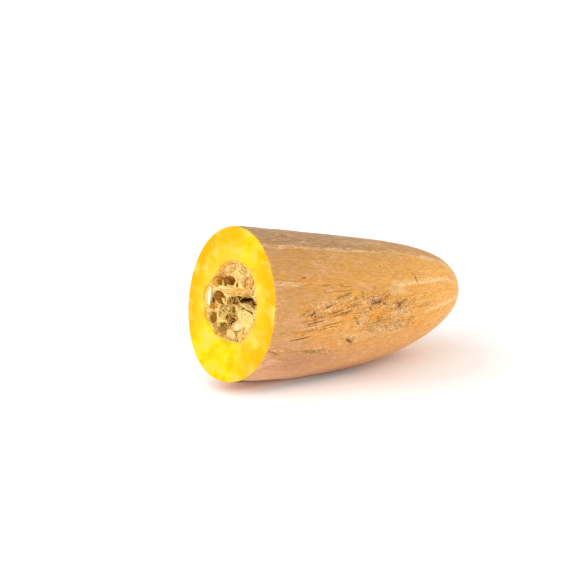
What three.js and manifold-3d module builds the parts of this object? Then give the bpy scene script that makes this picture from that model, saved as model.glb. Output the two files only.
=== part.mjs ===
// Half of a banana squash (Cucurbita maxima), cut across and lying on its side.
// Millimetres, +Z up. The long axis runs along +X, from the cut face at -X to the blossom end at +X.
// The origin is under the middle of the part, on the surface that it rests on.
import * as THREE from "three";
import { mergeVertices } from "three/addons/utils/BufferGeometryUtils.js";
import Module from "manifold-3d";

const wasm = await Module();
wasm.setup();

// ---- driving dimensions ----
const CUT_RADIUS = 75; // outside radius at the cut face
const AXIS_LENGTH = 276; // along the curved axis, from the cut face to the blossom end
const TAPER_POWER = 1.88; // how late the taper starts: a higher power is fuller in the middle
const TAPER_ROOT = 2.46; // how blunt the blossom end is: a higher root is blunter
const AXIS_BEND = THREE.MathUtils.degToRad(13.3); // the tip turns up by this much
const AXIS_TILT = THREE.MathUtils.degToRad(10.8); // the axis dips by this much where it leaves the cut face
const BELLY_FLAT = 1.0; // depth of the patch that lay flat on the ground as it grew
const SKIN_LOBES = [
  // [lobes round the squash, height at the cut face, angle of the first from +Y]
  [2, 0.42, 1.3],
  [3, 0.76, 1.23],
  [4, 0.48, 0.52],
];

const SCAR_RADIUS = 13; // blossom scar at the tip: a groove round a low corky button
const SCAR_STEPS = [
  // [radius, height above the skin]
  [11.6, -1.1],
  [9.6, -0.9],
  [8.4, 0.9],
  [4.5, 1.5],
];

const CAVITY_RADIUS = 40.7; // seed cavity at the cut face
const CAVITY_DEPTH = 182;
const CAVITY_ACROSS = 0.2; // the cavity's middle, off the squash's axis
const CAVITY_UP = 2.5;
const CAVITY_TAPER = 2.4;
const CAVITY_LOBES = [
  [2, 2.4, -0.25],
  [3, 1.5, -0.37],
];

const PULP_GAP = 0.4; // clearance between pieces that touch
const PULP_RECESS = 3.2; // how far the pulp lies behind the cut face
const PULP_WAVE = 1.4; // height of the waves in its torn front
const HOLLOW = { across: -13, up: 7.5, halfWidth: 25, halfHeight: 5.6, depth: 66 }; // a gap in the pulp

const SEED = {
  halfLength: 9.8,
  halfWidth: 6,
  halfThickness: 2.5,
  margin: 0.9, // half the thickness of the margin round its edge
  faceShare: 0.5, // where the face starts to fall towards the margin, as a share of the outline
  marginShare: 0.84,
};
const TEAR_SHARE = 0.8; // the tear in front of a seed, as a share of the seed's length and width

// Each seed's middle, across (+Y), up and behind the cut face, then its turns in degrees:
// roll in the plane of the cut, lean of its flat side away from the cut, and sway of its tip.
const SEEDS = [
  { across: 38.9, up: -0.4, depth: 4.7, roll: 97, lean: 8, sway: -46 },
  { across: 25.7, up: 1.0, depth: 6.5, roll: 6, lean: 8, sway: -10 },
  { across: 30.1, up: -18.6, depth: 3.9, roll: 26, lean: -8, sway: 9 },
  { across: 28.9, up: 15.5, depth: 4.7, roll: -3, lean: 10, sway: -26 },
  { across: 10.4, up: 19.6, depth: 6.8, roll: 2, lean: 6, sway: -16 },
  { across: 14.0, up: 32.4, depth: 5.8, roll: 132, lean: 14, sway: 63 },
  { across: -17.9, up: 25.4, depth: 5.3, roll: -23, lean: -7, sway: 7 },
  { across: -3.4, up: -28.2, depth: 4.2, roll: -16, lean: -11, sway: -22 },
  { across: -10.9, up: -17.4, depth: 5.2, roll: -18, lean: 3, sway: 26 },
  { across: -30.0, up: -6.5, depth: 12.5, roll: 78, lean: 66, sway: 8 },
  { across: 13.0, up: -22.5, depth: 11.5, roll: 14, lean: -44, sway: 0 },
  { across: 14.0, up: -7.5, depth: 13.5, roll: -12, lean: 60, sway: 10 },
  { across: -8.0, up: 29.0, depth: 17.5, roll: 32, lean: -62, sway: 0 },
  { across: -30.0, up: 14.5, depth: 19.0, roll: 82, lean: 74, sway: 0 },
  { across: -11.0, up: -8.0, depth: 18.5, roll: 28, lean: 66, sway: -8 },
  { across: 12.5, up: 8.0, depth: 23.0, roll: -8, lean: 78, sway: 12 },
];

const ROUND = 48; // points round the skin
const INNER_ROUND = 32; // points round the cavity and the pulp
const SKIN_RINGS = 20;
const CAVITY_RINGS = 11;

// ---- shape of the squash ----

// A point of the curved axis and the direction square to it, in the plane of the bend.
function axisAt(along) {
  const angle = (AXIS_BEND * along) / AXIS_LENGTH;
  const bendRadius = AXIS_LENGTH / AXIS_BEND;
  return {
    middle: new THREE.Vector3(bendRadius * Math.sin(angle), 0, bendRadius * (1 - Math.cos(angle))),
    up: new THREE.Vector3(-Math.sin(angle), 0, Math.cos(angle)),
    forward: new THREE.Vector3(Math.cos(angle), 0, Math.sin(angle)),
  };
}

function pointAround(along, radius, around, lift = 0) {
  const axis = axisAt(along);
  return axis.middle
    .clone()
    .addScaledVector(axis.up, radius * Math.sin(around))
    .addScaledVector(axis.forward, lift)
    .add(new THREE.Vector3(0, radius * Math.cos(around), 0));
}

// How far low lobes stand out at this angle.
function swell(lobes, around) {
  return lobes.reduce((sum, [count, height, first]) => sum + height * Math.cos(count * (around - first)), 0);
}

function skinRadius(share, around) {
  const taper = Math.pow(Math.max(1 - Math.pow(share, TAPER_POWER), 0), 1 / TAPER_ROOT);
  const lobed = 1 + ((1 - share) * swell(SKIN_LOBES, around)) / CUT_RADIUS; // they fade out towards the tip
  return CUT_RADIUS * taper * lobed;
}

// How far along the axis, as a share of its length, the skin has narrowed to this radius.
function shareAtRadius(radius) {
  return Math.pow(1 - Math.pow(radius / CUT_RADIUS, TAPER_ROOT), 1 / TAPER_POWER);
}

// A point on the wall of the seed cavity, or inside it by the inset.
function cavityPoint(along, around, inset = 0) {
  const share = Math.min(Math.max(along / CAVITY_DEPTH, 0), 1);
  const taper = Math.sqrt(1 - Math.pow(share, CAVITY_TAPER));
  const radius = Math.max((CAVITY_RADIUS + swell(CAVITY_LOBES, around)) * taper - inset, 0);
  const offset = axisAt(along).up.multiplyScalar(CAVITY_UP * taper);
  offset.y = CAVITY_ACROSS * taper;
  return pointAround(along, radius, around).add(offset);
}

// ---- solids ----

// A closed skin over a stack of rings, each with the same number of points, and a point at each end.
function loft(rings, front, back) {
  const count = rings[0].length;
  const positions = [...rings.flat(), front, back].flatMap((point) => point.toArray());
  const frontIndex = rings.length * count;
  const backIndex = frontIndex + 1;
  const faces = [];
  for (let i = 0; i < count; i++) {
    const next = (i + 1) % count;
    faces.push(frontIndex, next, i);
    for (let k = 0; k + 1 < rings.length; k++) {
      const a = k * count + i;
      const b = k * count + next;
      faces.push(a, b, b + count, a, b + count, a + count);
    }
    const last = (rings.length - 1) * count;
    faces.push(backIndex, last + i, last + next);
  }
  const geometry = new THREE.BufferGeometry();
  geometry.setAttribute("position", new THREE.Float32BufferAttribute(positions, 3));
  geometry.setIndex(faces);
  return geometry;
}

function toSolid(geometry) {
  const bare = geometry.clone();
  bare.deleteAttribute("normal");
  bare.deleteAttribute("uv");
  const merged = mergeVertices(bare, 1e-4);
  const solid = new wasm.Manifold(
    new wasm.Mesh({
      numProp: 3,
      vertProperties: new Float32Array(merged.attributes.position.array),
      triVerts: new Uint32Array(merged.index.array),
    }),
  );
  if (solid.volume() < 0) throw new Error("a solid is inside out");
  return solid;
}

function toGeometry(solid) {
  const mesh = solid.getMesh();
  const geometry = new THREE.BufferGeometry();
  geometry.setAttribute("position", new THREE.BufferAttribute(new Float32Array(mesh.vertProperties), 3));
  geometry.setIndex(new THREE.BufferAttribute(new Uint32Array(mesh.triVerts), 1));
  geometry.computeVertexNormals();
  return geometry;
}

function ring(count, pointAt) {
  return Array.from({ length: count }, (_, i) => pointAt((2 * Math.PI * i) / count));
}

// The outside, with the blossom scar pressed into its tip.
function outsideSolid() {
  const lastShare = shareAtRadius(SCAR_RADIUS);
  const lastAngle = Math.asin(lastShare);
  const rings = [];
  for (let k = 0; k <= SKIN_RINGS; k++) {
    const share = Math.sin((lastAngle * k) / SKIN_RINGS);
    rings.push(ring(ROUND, (around) => pointAround(share * AXIS_LENGTH, skinRadius(share, around), around)));
  }
  for (const [radius, height] of SCAR_STEPS) {
    const along = shareAtRadius(radius) * AXIS_LENGTH;
    rings.push(ring(ROUND, (around) => pointAround(along, radius, around, height)));
  }
  const tip = pointAround(AXIS_LENGTH, 0, 0, SCAR_STEPS.at(-1)[1]);
  return toSolid(loft(rings, axisAt(0).middle, tip));
}

// How deep each ring round the cavity lies. They draw closer where the wall curves in.
function cavityStation(k) {
  const lastTurn = 1.45;
  return CAVITY_DEPTH * Math.sin((lastTurn * k) / CAVITY_RINGS);
}

function middleOf(points) {
  return points.reduce((sum, point) => sum.add(point), new THREE.Vector3()).divideScalar(points.length);
}

// The seed cavity, run out past the cut face so that it opens there.
function cavitySolid() {
  const overrun = 2;
  const rings = [ring(INNER_ROUND, (around) => cavityPoint(-overrun, around))];
  for (let k = 0; k <= CAVITY_RINGS; k++) {
    rings.push(ring(INNER_ROUND, (around) => cavityPoint(cavityStation(k), around)));
  }
  return toSolid(loft(rings, middleOf(rings[0]), cavityPoint(CAVITY_DEPTH, 0)));
}

// How far the pulp's torn front lies behind the cut face, at a place in the plane of the cut.
function pulpFront(across, up) {
  const waves = Math.sin(across / 7.5 + 0.6) * Math.cos(up / 8.5 - 0.4) + 0.6 * Math.sin((across + up) / 5.2);
  return PULP_RECESS + PULP_WAVE * waves;
}

// The stringy pulp fills the cavity, but for the hollow in its middle.
function pulpSolid() {
  const frontRings = 4;
  const rings = [];
  for (let k = 1; k <= frontRings; k++) {
    rings.push(
      ring(INNER_ROUND, (around) => {
        const rim = cavityPoint(PULP_RECESS, around, PULP_GAP);
        const middle = new THREE.Vector3(rim.x, CAVITY_ACROSS, CAVITY_UP);
        const point = middle.lerp(rim, k / frontRings);
        const fade = k === frontRings ? 0 : 1;
        point.x += fade * (pulpFront(point.y, point.z) - PULP_RECESS);
        return point;
      }),
    );
  }
  for (let k = 1; k < CAVITY_RINGS; k++) {
    rings.push(ring(INNER_ROUND, (around) => cavityPoint(cavityStation(k), around, PULP_GAP)));
  }
  const front = new THREE.Vector3(pulpFront(CAVITY_ACROSS, CAVITY_UP), CAVITY_ACROSS, CAVITY_UP);
  return toSolid(loft(rings, front, middleOf(rings.at(-1))));
}

// The hollow runs level, so in the squash's own frame it climbs by the tilt of the axis.
function hollowSolid() {
  const shape = new THREE.SphereGeometry(1, 20, 12);
  shape.scale(HOLLOW.depth, HOLLOW.halfWidth, HOLLOW.halfHeight);
  shape.rotateY(-AXIS_TILT);
  shape.translate(0, HOLLOW.across, HOLLOW.up);
  return toSolid(shape);
}

// One seed: flat, oval, with a blunt point at +Y and a thin margin round its edge. Its flat side faces -X.
function seedGeometry(grow = 0) {
  const round = 14;
  const halfLength = SEED.halfLength + grow;
  const halfWidth = SEED.halfWidth + grow;
  const outline = (around) => {
    const towardsTip = Math.cos(around);
    const pinch = 1 - 0.2 * Math.max(towardsTip, 0) ** 2 - 0.06 * towardsTip;
    return new THREE.Vector3(0, halfLength * towardsTip, halfWidth * Math.sin(around) * pinch);
  };
  const level = (share, height) =>
    ring(round, (around) => outline(around).multiplyScalar(share).setX(height));
  const thick = SEED.halfThickness + grow;
  const shoulder = 0.9 * thick;
  const margin = SEED.margin + grow;
  const rings = [
    level(SEED.faceShare, -shoulder),
    level(SEED.marginShare, -margin),
    level(1, -margin / 2),
    level(1, margin / 2),
    level(SEED.marginShare, margin),
    level(SEED.faceShare, shoulder),
  ];
  return loft(rings, new THREE.Vector3(-thick, 0, 0), new THREE.Vector3(thick, 0, 0));
}

function placeSeed(object, { across, up, depth, roll, lean, sway }) {
  const turn = THREE.MathUtils.degToRad;
  const axis = axisAt(depth);
  object.position.copy(axis.middle).addScaledVector(axis.up, up);
  object.position.y = across;
  object.rotation.set(turn(roll), turn(sway), turn(lean), "XYZ");
  object.updateMatrix();
  return object;
}

// The pocket that a seed sits in, opened to the front by the tear in the pulp before it.
function seedPocket(seed) {
  const holder = placeSeed(new THREE.Object3D(), seed);
  const socket = toSolid(seedGeometry(PULP_GAP).applyMatrix4(holder.matrix));
  const tear = new THREE.SphereGeometry(1, 12, 8);
  tear.scale(seed.depth, TEAR_SHARE * SEED.halfLength, TEAR_SHARE * SEED.halfWidth);
  tear.rotateX(THREE.MathUtils.degToRad(seed.roll));
  tear.translate(0, seed.across, seed.up);
  return socket.add(toSolid(tear));
}

// ---- materials ----
const rindMaterial = new THREE.MeshStandardMaterial({ color: 0xd9a066, roughness: 0.55, metalness: 0 });
const pulpMaterial = new THREE.MeshStandardMaterial({ color: 0xe6c06a, roughness: 0.5, metalness: 0 });
const seedMaterial = new THREE.MeshStandardMaterial({ color: 0xe9d3a4, roughness: 0.4, metalness: 0 });

// ---- assembly ----
const squash = new THREE.Group();
squash.rotation.y = AXIS_TILT;
squash.updateMatrixWorld(true);

function addPiece(name, geometry, material) {
  const mesh = new THREE.Mesh(geometry, material);
  mesh.name = name;
  squash.add(mesh);
  return mesh;
}

// The ground, in the squash's own frame, brought up to where it flattens the belly.
function groundSolid(outside) {
  const standing = new THREE.Mesh(toGeometry(outside));
  squash.add(standing);
  const lowest = new THREE.Box3().setFromObject(standing, true).min.z;
  squash.remove(standing);
  const size = 2 * AXIS_LENGTH;
  const block = new THREE.BoxGeometry(size, size, size);
  block.translate(AXIS_LENGTH / 2, 0, lowest + BELLY_FLAT - size / 2);
  block.applyMatrix4(squash.matrixWorld.clone().invert());
  return toSolid(block);
}

const outside = outsideSolid();
const cutOut = outside.subtract(cavitySolid()).subtract(groundSolid(outside));
addPiece("squash_half", toGeometry(cutOut), rindMaterial);

let pulp = pulpSolid().subtract(hollowSolid());
SEEDS.forEach((seed) => (pulp = pulp.subtract(seedPocket(seed))));
// A shred that the pockets cut loose is dropped, so the pulp stays one body.
const [wholePulp] = pulp.decompose().sort((a, b) => b.volume() - a.volume());
addPiece("seed_pulp", toGeometry(wholePulp), pulpMaterial);

SEEDS.forEach((seed, i) => {
  const name = "seed_" + String(i + 1).padStart(2, "0");
  placeSeed(addPiece(name, seedGeometry(), seedMaterial), seed);
});

// Stand the part on z = 0, with the origin under the middle of its box.
const part = new THREE.Group();
part.add(squash);
const box = new THREE.Box3().setFromObject(part, true);
squash.position.set(-(box.min.x + box.max.x) / 2, -(box.min.y + box.max.y) / 2, -box.min.z);

export default part;
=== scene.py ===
import math

import bpy
import numpy as np
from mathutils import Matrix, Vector


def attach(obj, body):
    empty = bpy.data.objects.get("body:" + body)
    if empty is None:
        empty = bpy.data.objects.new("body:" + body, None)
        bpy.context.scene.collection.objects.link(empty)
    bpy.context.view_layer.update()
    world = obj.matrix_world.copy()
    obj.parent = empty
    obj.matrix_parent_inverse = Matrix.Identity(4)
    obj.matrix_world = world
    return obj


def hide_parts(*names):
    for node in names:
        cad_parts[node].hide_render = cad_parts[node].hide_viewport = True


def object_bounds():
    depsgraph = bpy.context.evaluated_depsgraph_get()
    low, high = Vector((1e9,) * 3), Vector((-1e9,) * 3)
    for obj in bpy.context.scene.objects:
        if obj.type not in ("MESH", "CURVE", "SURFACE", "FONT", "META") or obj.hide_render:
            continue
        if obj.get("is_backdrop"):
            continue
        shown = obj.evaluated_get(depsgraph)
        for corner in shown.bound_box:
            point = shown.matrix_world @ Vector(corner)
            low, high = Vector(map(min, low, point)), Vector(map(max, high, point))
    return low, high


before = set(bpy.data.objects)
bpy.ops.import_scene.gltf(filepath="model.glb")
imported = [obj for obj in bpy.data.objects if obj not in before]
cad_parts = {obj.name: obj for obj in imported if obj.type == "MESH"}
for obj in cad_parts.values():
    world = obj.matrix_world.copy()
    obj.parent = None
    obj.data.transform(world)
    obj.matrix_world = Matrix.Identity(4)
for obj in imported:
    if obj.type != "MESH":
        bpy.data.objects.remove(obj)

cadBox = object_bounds()
mm = 0.001  # every size below is in millimetres, and every mesh is written in metres
print("frame loaded:", len(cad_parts), "nodes")


# Small tools for numbers, meshes and materials

def softNoise(points, seed=0):  # smooth lattice noise from -1 to 1, the same on every run
    primes, mask, levels = (73856093, 19349663, 83492791, 40503), 0x7FFFFFFF, 10007
    cell = np.floor(points).astype(np.int64)
    part = points - cell
    ease = part * part * (3 - 2 * part)
    total = np.zeros(points.shape[:-1])
    for corner in np.ndindex(2, 2, 2):
        at = cell + np.array(corner)
        key = at[..., 0] * primes[0] ^ at[..., 1] * primes[1] ^ at[..., 2] * primes[2] ^ seed * primes[3]
        key = (key ^ (key >> 13)) * 1274126177 & mask
        value = ((key ^ (key >> 15)) * 48271 & mask) % levels / (levels // 2) - 1
        total += value * np.prod(np.where(corner, ease, 1 - ease), axis=-1)
    return total


def layeredNoise(points, seed=0, layers=3):
    return sum(softNoise(points * 2 ** k, seed + 17 * k) / 2 ** k for k in range(layers)) / 1.5


def roundNoise(along, angle, length, spokes, seed):  # noise on a round skin, with marks of that length in mm
    return softNoise(np.stack([along / length, spokes * np.cos(angle), spokes * np.sin(angle)], -1), seed)


def bell(distance, width):
    return np.exp(-(distance / width) ** 2)


def smoothStep(low, high, value):
    t = np.clip((value - low) / (high - low), 0, 1)
    return t * t * (3 - 2 * t)


def turnGap(angle, degrees):  # from an angle in degrees, the short way round, in radians
    return np.angle(np.exp(1j * (angle - math.radians(degrees))))


def hexColour(code):
    channels = [int(code[k:k + 2], 16) / 255 for k in (1, 3, 5)]
    linear = [c / 12.92 if c <= 0.04045 else ((c + 0.055) / 1.055) ** 2.4 for c in channels]
    return (*linear, 1.0)


def toRow(points):  # from the squash's own frame, in mm, to the row frame, in metres
    cosine, sine = math.cos(squash["tilt"]), math.sin(squash["tilt"])
    x, y, z = np.moveaxis(np.asarray(points, float), -1, 0)
    turned = np.stack([x * cosine + z * sine, y, z * cosine - x * sine], axis=-1)
    return (turned + np.array(squash["cutCentre"])) * mm


def addMesh(name, points, faces, materials, values=None):
    mesh = bpy.data.meshes.new(name)
    mesh.from_pydata(points.reshape(-1, 3).tolist(), [], faces)
    for key, value in (values or {}).items():
        vector = value.ndim == points.ndim
        made = mesh.attributes.new(key, "FLOAT_VECTOR" if vector else "FLOAT", "POINT")
        made.data.foreach_set("vector" if vector else "value", value.astype(np.float32).ravel())
    for material in materials:
        mesh.materials.append(material)
    mesh.polygons.foreach_set("use_smooth", [True] * len(mesh.polygons))
    mesh.update()
    piece = bpy.data.objects.new(name, mesh)
    bpy.context.scene.collection.objects.link(piece)
    return piece


def closedFaces(rows, columns, flipped=False):  # quads between rings of points, then a fan to each pole
    row, column = np.meshgrid(np.arange(rows - 1), np.arange(columns), indexing="ij")
    after = (column + 1) % columns
    here, ahead = row * columns, (row + 1) * columns
    faces = np.stack([here + column, here + after, ahead + after, ahead + column], -1).reshape(-1, 4).tolist()
    first, second, last = rows * columns, rows * columns + 1, (rows - 1) * columns
    faces += [(first, (k + 1) % columns, k) for k in range(columns)]
    faces += [(second, last + k, last + (k + 1) % columns) for k in range(columns)]
    return [tuple(reversed(face)) for face in faces] if flipped else faces


def closedStrips(path, side, other, wide, high, tone, sink=0.0):  # closed strips with an oval section
    sides = 6
    turn = 2 * math.pi * np.arange(sides) / sides
    body = path[:, :, None] + side[:, :, None] * np.cos(turn)[:, None] * wide[..., None, None]
    body = body + other[:, :, None] * (np.sin(turn)[:, None] - sink) * high[..., None, None]
    count, steps = path.shape[:2]
    points = np.concatenate([body.reshape(count, -1, 3), path[:, [0, -1]]], axis=1)
    each = points.shape[1]
    faces = closedFaces(steps, sides)
    joined = [tuple(corner + k * each for corner in face) for k in range(count) for face in faces]
    return points.reshape(-1, 3), joined, np.repeat(tone, each, axis=-1)


def joinParts(parts):  # points, faces and tones of many parts as those of one
    points, faces = [part[0] for part in parts], []
    for index, part in enumerate(parts):
        offset = sum(len(some) for some in points[:index])
        faces += [tuple(corner + offset for corner in face) for face in part[1]]
    return np.concatenate(points), faces, np.concatenate([part[2] for part in parts], axis=-1)


def addNode(tree, kind, links=None, stops=None, **settings):
    made = tree.nodes.new(kind)
    for key, value in settings.items():
        setattr(made, key, value)
    for socket, source in (links or {}).items():
        if isinstance(source, bpy.types.NodeSocket):
            tree.links.new(source, made.inputs[socket])
        else:
            made.inputs[socket].default_value = source
    if stops:
        ramp = made.color_ramp
        while len(ramp.elements) < len(stops):
            ramp.elements.new(0.5)
        for element, (place, colour) in zip(ramp.elements, stops):
            element.position = place
            element.color = colour
    return made


def newMaterial(name, look, numbers=(), vectors=()):  # its surface, colours, painted values and marks
    made = bpy.data.materials.new(name)
    made.use_nodes = True
    tree = made.node_tree
    surface = tree.nodes["Principled BSDF"]
    for socket, value in look["finish"].items():
        surface.inputs[socket].default_value = value
    colours = {key: hexColour(code) for key, code in look["colours"].items()}
    values = {}
    for socket, keys in (("Fac", numbers), ("Vector", vectors)):
        for key in keys:
            values[key] = addNode(tree, "ShaderNodeAttribute", attribute_name=key).outputs[socket]
    for key, (place, *shape) in look.get("marks", {}).items():
        values[key] = addMarks(tree, values[place], *shape)
    return made, tree, surface, colours, values


def addMarks(tree, place, size, seed=0, detail=3.0, warp=0.0, roughness=0.5, turn=0.0):
    size = size if isinstance(size, tuple) else (size,) * 3  # of the marks, in the place's own unit
    scaled = addNode(tree, "ShaderNodeMapping", {
        "Vector": place, "Location": (seed, seed * 1.7, seed * 0.6), "Rotation": (turn, 0, 0),
        "Scale": tuple(1 / side for side in size)})
    return addNode(tree, "ShaderNodeTexNoise", {
        "Vector": scaled.outputs["Vector"], "Scale": 1.0, "Detail": detail, "Roughness": roughness,
        "Distortion": warp}).outputs["Fac"]


def addShare(tree, marks, span=None, top=1.0, part=None, reach=0.0, gate=None, least=0.0):
    share = marks  # how much of a layer shows
    if reach:  # more where that part of the mesh is stronger
        share = addNode(tree, "ShaderNodeMath", {0: part, 1: reach, 2: share}, operation="MULTIPLY_ADD")
        share = share.outputs["Value"]
    if span:
        share = addNode(tree, "ShaderNodeMapRange", {
            "Value": share, "From Min": span[0], "From Max": span[1], "To Min": least, "To Max": top},
            interpolation_type="SMOOTHSTEP").outputs["Result"]
    if part is not None and (gate or not reach):  # none of it outside that part
        kept = addShare(tree, part, gate)
        share = addNode(tree, "ShaderNodeMath", {0: share, 1: kept}, operation="MULTIPLY").outputs["Value"]
    return share


def addTint(tree, under, over, *share, **limits):  # one colour over another
    share = addShare(tree, *share, **limits)
    return addNode(tree, "ShaderNodeMix", {0: share, 6: under, 7: over}, data_type="RGBA").outputs[2]


def addShade(tree, under, marks, depth, shading, part=None, gate=None):  # darker where the marks are low
    dark, light = [(*(1 + change * depth for change in shading[side]), 1) for side in ("low", "high")]
    level = addTint(tree, dark, light, marks, shading["span"])
    if part is not None:
        level = addTint(tree, (1, 1, 1, 1), level, part, gate)
    return addNode(tree, "ShaderNodeVectorMath", {0: under, 1: level}, operation="MULTIPLY").outputs["Vector"]


def addLayers(tree, body, look, colours, values, layers="layers"):  # tints and shades, one over the other
    for layer in look[layers]:
        layer = look.get(layer.get("like"), {}) | layer
        limits = {key: layer[key] for key in ("span", "top", "reach", "gate") if key in layer}
        limits["part"] = values.get(layer.get("part"))
        marks = values[layer["marks"]]
        if "shade" in layer:
            body = addShade(tree, body, marks, layer["shade"], look["shading"], **limits)
        else:
            body = addTint(tree, body, colours[layer["tint"]], marks, **limits)
    return body


def joinSurface(tree, surface, body, look, values):  # its colour, then its bumps: strength and depth in mm
    tree.links.new(body, surface.inputs["Base Color"])
    links = {}
    for name, (strength, depth) in look["bumps"].items():
        links.update({"Strength": strength, "Distance": depth * mm, "Height": values[name]})
        links["Normal"] = addNode(tree, "ShaderNodeBump", links).outputs["Normal"]
    tree.links.new(links["Normal"], surface.inputs["Normal"])


# The camera and the light

view = {
    "azimuth": -34.7,  # degrees; 0 looks along +Y
    "elevation": 15.0,
    "distance": 1600.0,
    "lens": 103.5,  # on a 36 mm sensor
    "aside": 54.9,  # the aim, to the right of the cut's middle on the floor
    "above": 97.2,
}


def around(azimuth, elevation, distance):  # a place on a sphere, seen from its centre
    a, e = math.radians(azimuth), math.radians(elevation)
    return Vector((math.sin(a) * math.cos(e), -math.cos(a) * math.cos(e), math.sin(e))) * distance


def aimAt(thing, target):
    thing.rotation_euler = (target - thing.location).to_track_quat("-Z", "Y").to_euler()


def addCamera():
    back = around(view["azimuth"], view["elevation"], 1)
    right = Vector((0, 0, 1)).cross(back).normalized()
    up = back.cross(right)
    foot = Vector((squash["cutCentre"][0], squash["cutCentre"][1], 0))
    target = (foot + right * view["aside"] + up * view["above"]) * mm
    camera = bpy.data.objects.new("camera", bpy.data.cameras.new("camera"))
    camera.data.lens = view["lens"]
    camera.data.sensor_width = 36
    camera.data.clip_end = 50
    camera.location = target + back * view["distance"] * mm
    aimAt(camera, target)
    bpy.context.scene.collection.objects.link(camera)
    bpy.context.scene.camera = camera
    print("camera:", view["azimuth"], "degrees round,", view["elevation"], "degrees up")


studio = {
    "finish": {"Roughness": 0.9, "Specular IOR Level": 0.1},
    "colours": {
        "floor": "#F9F5F2",
        "bounce": "#F4C8A8",  # painted bounce light: the warm light the squash throws on the floor beside it
    },
    "floorSize": 12.0,  # metres
    "horizon": 1.0,  # brightness of the white surround, level with the squash
    "zenith": 0.8,
    "glow": (0.06, 0.42),  # painted light: the floor itself glows, weakly under the squash and strongly round it
    "glowReach": (0.07, 0.2),  # metres from the place below
    "glowCentre": (0.07, -0.02, 0),
    "touching": (-0.131, 0.06),  # the squash lies on the floor along X between these; close by, the glow dims there as painted shade
    "shaded": (0.003, 0.032),
    "shadedGlow": 0.18,  # share of the glow that is left there
    "aim": (0, 0, 0.07),
    "lamps": {  # azimuth, elevation, distance, width, watts; all soft boxes
        "left_softbox": (-84, 24, 1.7, 1.1, 7.5),
        "right_softbox": (6, 24, 1.9, 1.2, 8.5),
    },
}


def addSurround():
    world = bpy.data.worlds.new("white_surround")
    bpy.context.scene.world = world
    world.use_nodes = True
    tree = world.node_tree
    sky = addNode(tree, "ShaderNodeTexCoord")
    height = addNode(tree, "ShaderNodeSeparateXYZ", {"Vector": sky.outputs["Generated"]})
    horizon, zenith = [(studio[key],) * 3 + (1,) for key in ("horizon", "zenith")]
    fade = addNode(tree, "ShaderNodeValToRGB", {"Fac": height.outputs["Z"]},
                   stops=[(0.0, horizon), (0.9, zenith)])
    tree.links.new(fade.outputs["Color"], tree.nodes["Background"].inputs["Color"])


def paperFloor():  # matte paper that glows: painted light round the squash, and painted shade with a painted warm bounce close to it; no gloss
    material, tree, surface, colours, _ = newMaterial("matte_paper_floor", studio)
    surface.inputs["Base Color"].default_value = colours["floor"]
    place = addNode(tree, "ShaderNodeTexCoord").outputs["Object"]
    reach = addNode(tree, "ShaderNodeVectorMath", {0: place, 1: studio["glowCentre"]}, operation="DISTANCE")
    glow = addNode(tree, "ShaderNodeMapRange", {
        "Value": reach.outputs["Value"],
        "From Min": studio["glowReach"][0], "From Max": studio["glowReach"][1],
        "To Min": studio["glow"][0], "To Max": studio["glow"][1]})
    along = addNode(tree, "ShaderNodeSeparateXYZ", {"Vector": place}).outputs["X"]
    start, stop = studio["touching"]
    along = addNode(tree, "ShaderNodeClamp", {"Value": along, "Min": start, "Max": stop}).outputs["Result"]
    nearest = addNode(tree, "ShaderNodeCombineXYZ", {"X": along}).outputs["Vector"]
    gap = addNode(tree, "ShaderNodeVectorMath", {0: place, 1: nearest}, operation="DISTANCE").outputs["Value"]
    clear = addNode(tree, "ShaderNodeMapRange", {
        "Value": gap, "From Min": studio["shaded"][0], "From Max": studio["shaded"][1]}).outputs["Result"]
    bounce = addTint(tree, colours["bounce"], colours["floor"], clear)
    tree.links.new(bounce, surface.inputs["Emission Color"])
    least = studio["shadedGlow"]
    share = addNode(tree, "ShaderNodeMath", {0: clear, 1: 1 - least, 2: least}, operation="MULTIPLY_ADD")
    glow = addNode(tree, "ShaderNodeMath", {
        0: glow.outputs["Result"], 1: share.outputs["Value"]}, operation="MULTIPLY")
    tree.links.new(glow.outputs["Value"], surface.inputs["Emission Strength"])
    return material


def addStudio():
    scene = bpy.context.scene
    scene.view_settings.view_transform = "Standard"
    addSurround()
    half = studio["floorSize"] / 2
    corners = np.array([(-half, -half, 0), (half, -half, 0), (half, half, 0), (-half, half, 0)])
    addMesh("floor", corners, [(0, 1, 2, 3)], [paperFloor()])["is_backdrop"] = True
    middle = Vector(studio["aim"])
    for name, (azimuth, elevation, distance, width, watts) in studio["lamps"].items():
        lamp = bpy.data.objects.new(name, bpy.data.lights.new(name, "AREA"))
        lamp.data.shape = "SQUARE"
        lamp.data.size = width
        lamp.data.energy = watts
        lamp.location = middle + around(azimuth, elevation, distance)
        aimAt(lamp, middle)
        scene.collection.objects.link(lamp)
    print("studio:", len(studio["lamps"]), "lamps over the floor")


# The squash: rind, cut face and seed cavity, grown as one piece

squash = {
    "cutCentre": (-131.1, 0.65, 83.35),  # middle of the cut, in the row frame
    "cutRadius": 75.0,
    "axisLength": 276.0,
    "taperPower": 1.88,
    "taperRoot": 2.46,
    "bend": math.radians(13.3),
    "tilt": math.radians(10.8),
    "lobes": [(2, 0.42, 1.3), (3, 0.76, 1.23), (4, 0.48, 0.52)],  # count, height, angle of the first
    "scarRadius": 13.0,  # blossom scar: a groove round a corky button
    "columns": 288,
    "skinRows": 214,
    "scarRows": 22,
    "faceRows": 42,
    "wallRows": 18,
}

turns = 2 * math.pi * np.arange(squash["columns"]) / squash["columns"]  # angle of each column of points

cavity = {
    "radius": 40.7,
    "depth": 182.0,
    "across": 0.2,
    "up": 2.5,
    "taper": 2.4,
    "lobes": [(2, 2.4, -0.25), (3, 1.5, -0.37)],
    "dent": (3.6, -2, 0.24, 9.0),  # round the first seed the lip gives way: how far, where, how wide and deep
}

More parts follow.
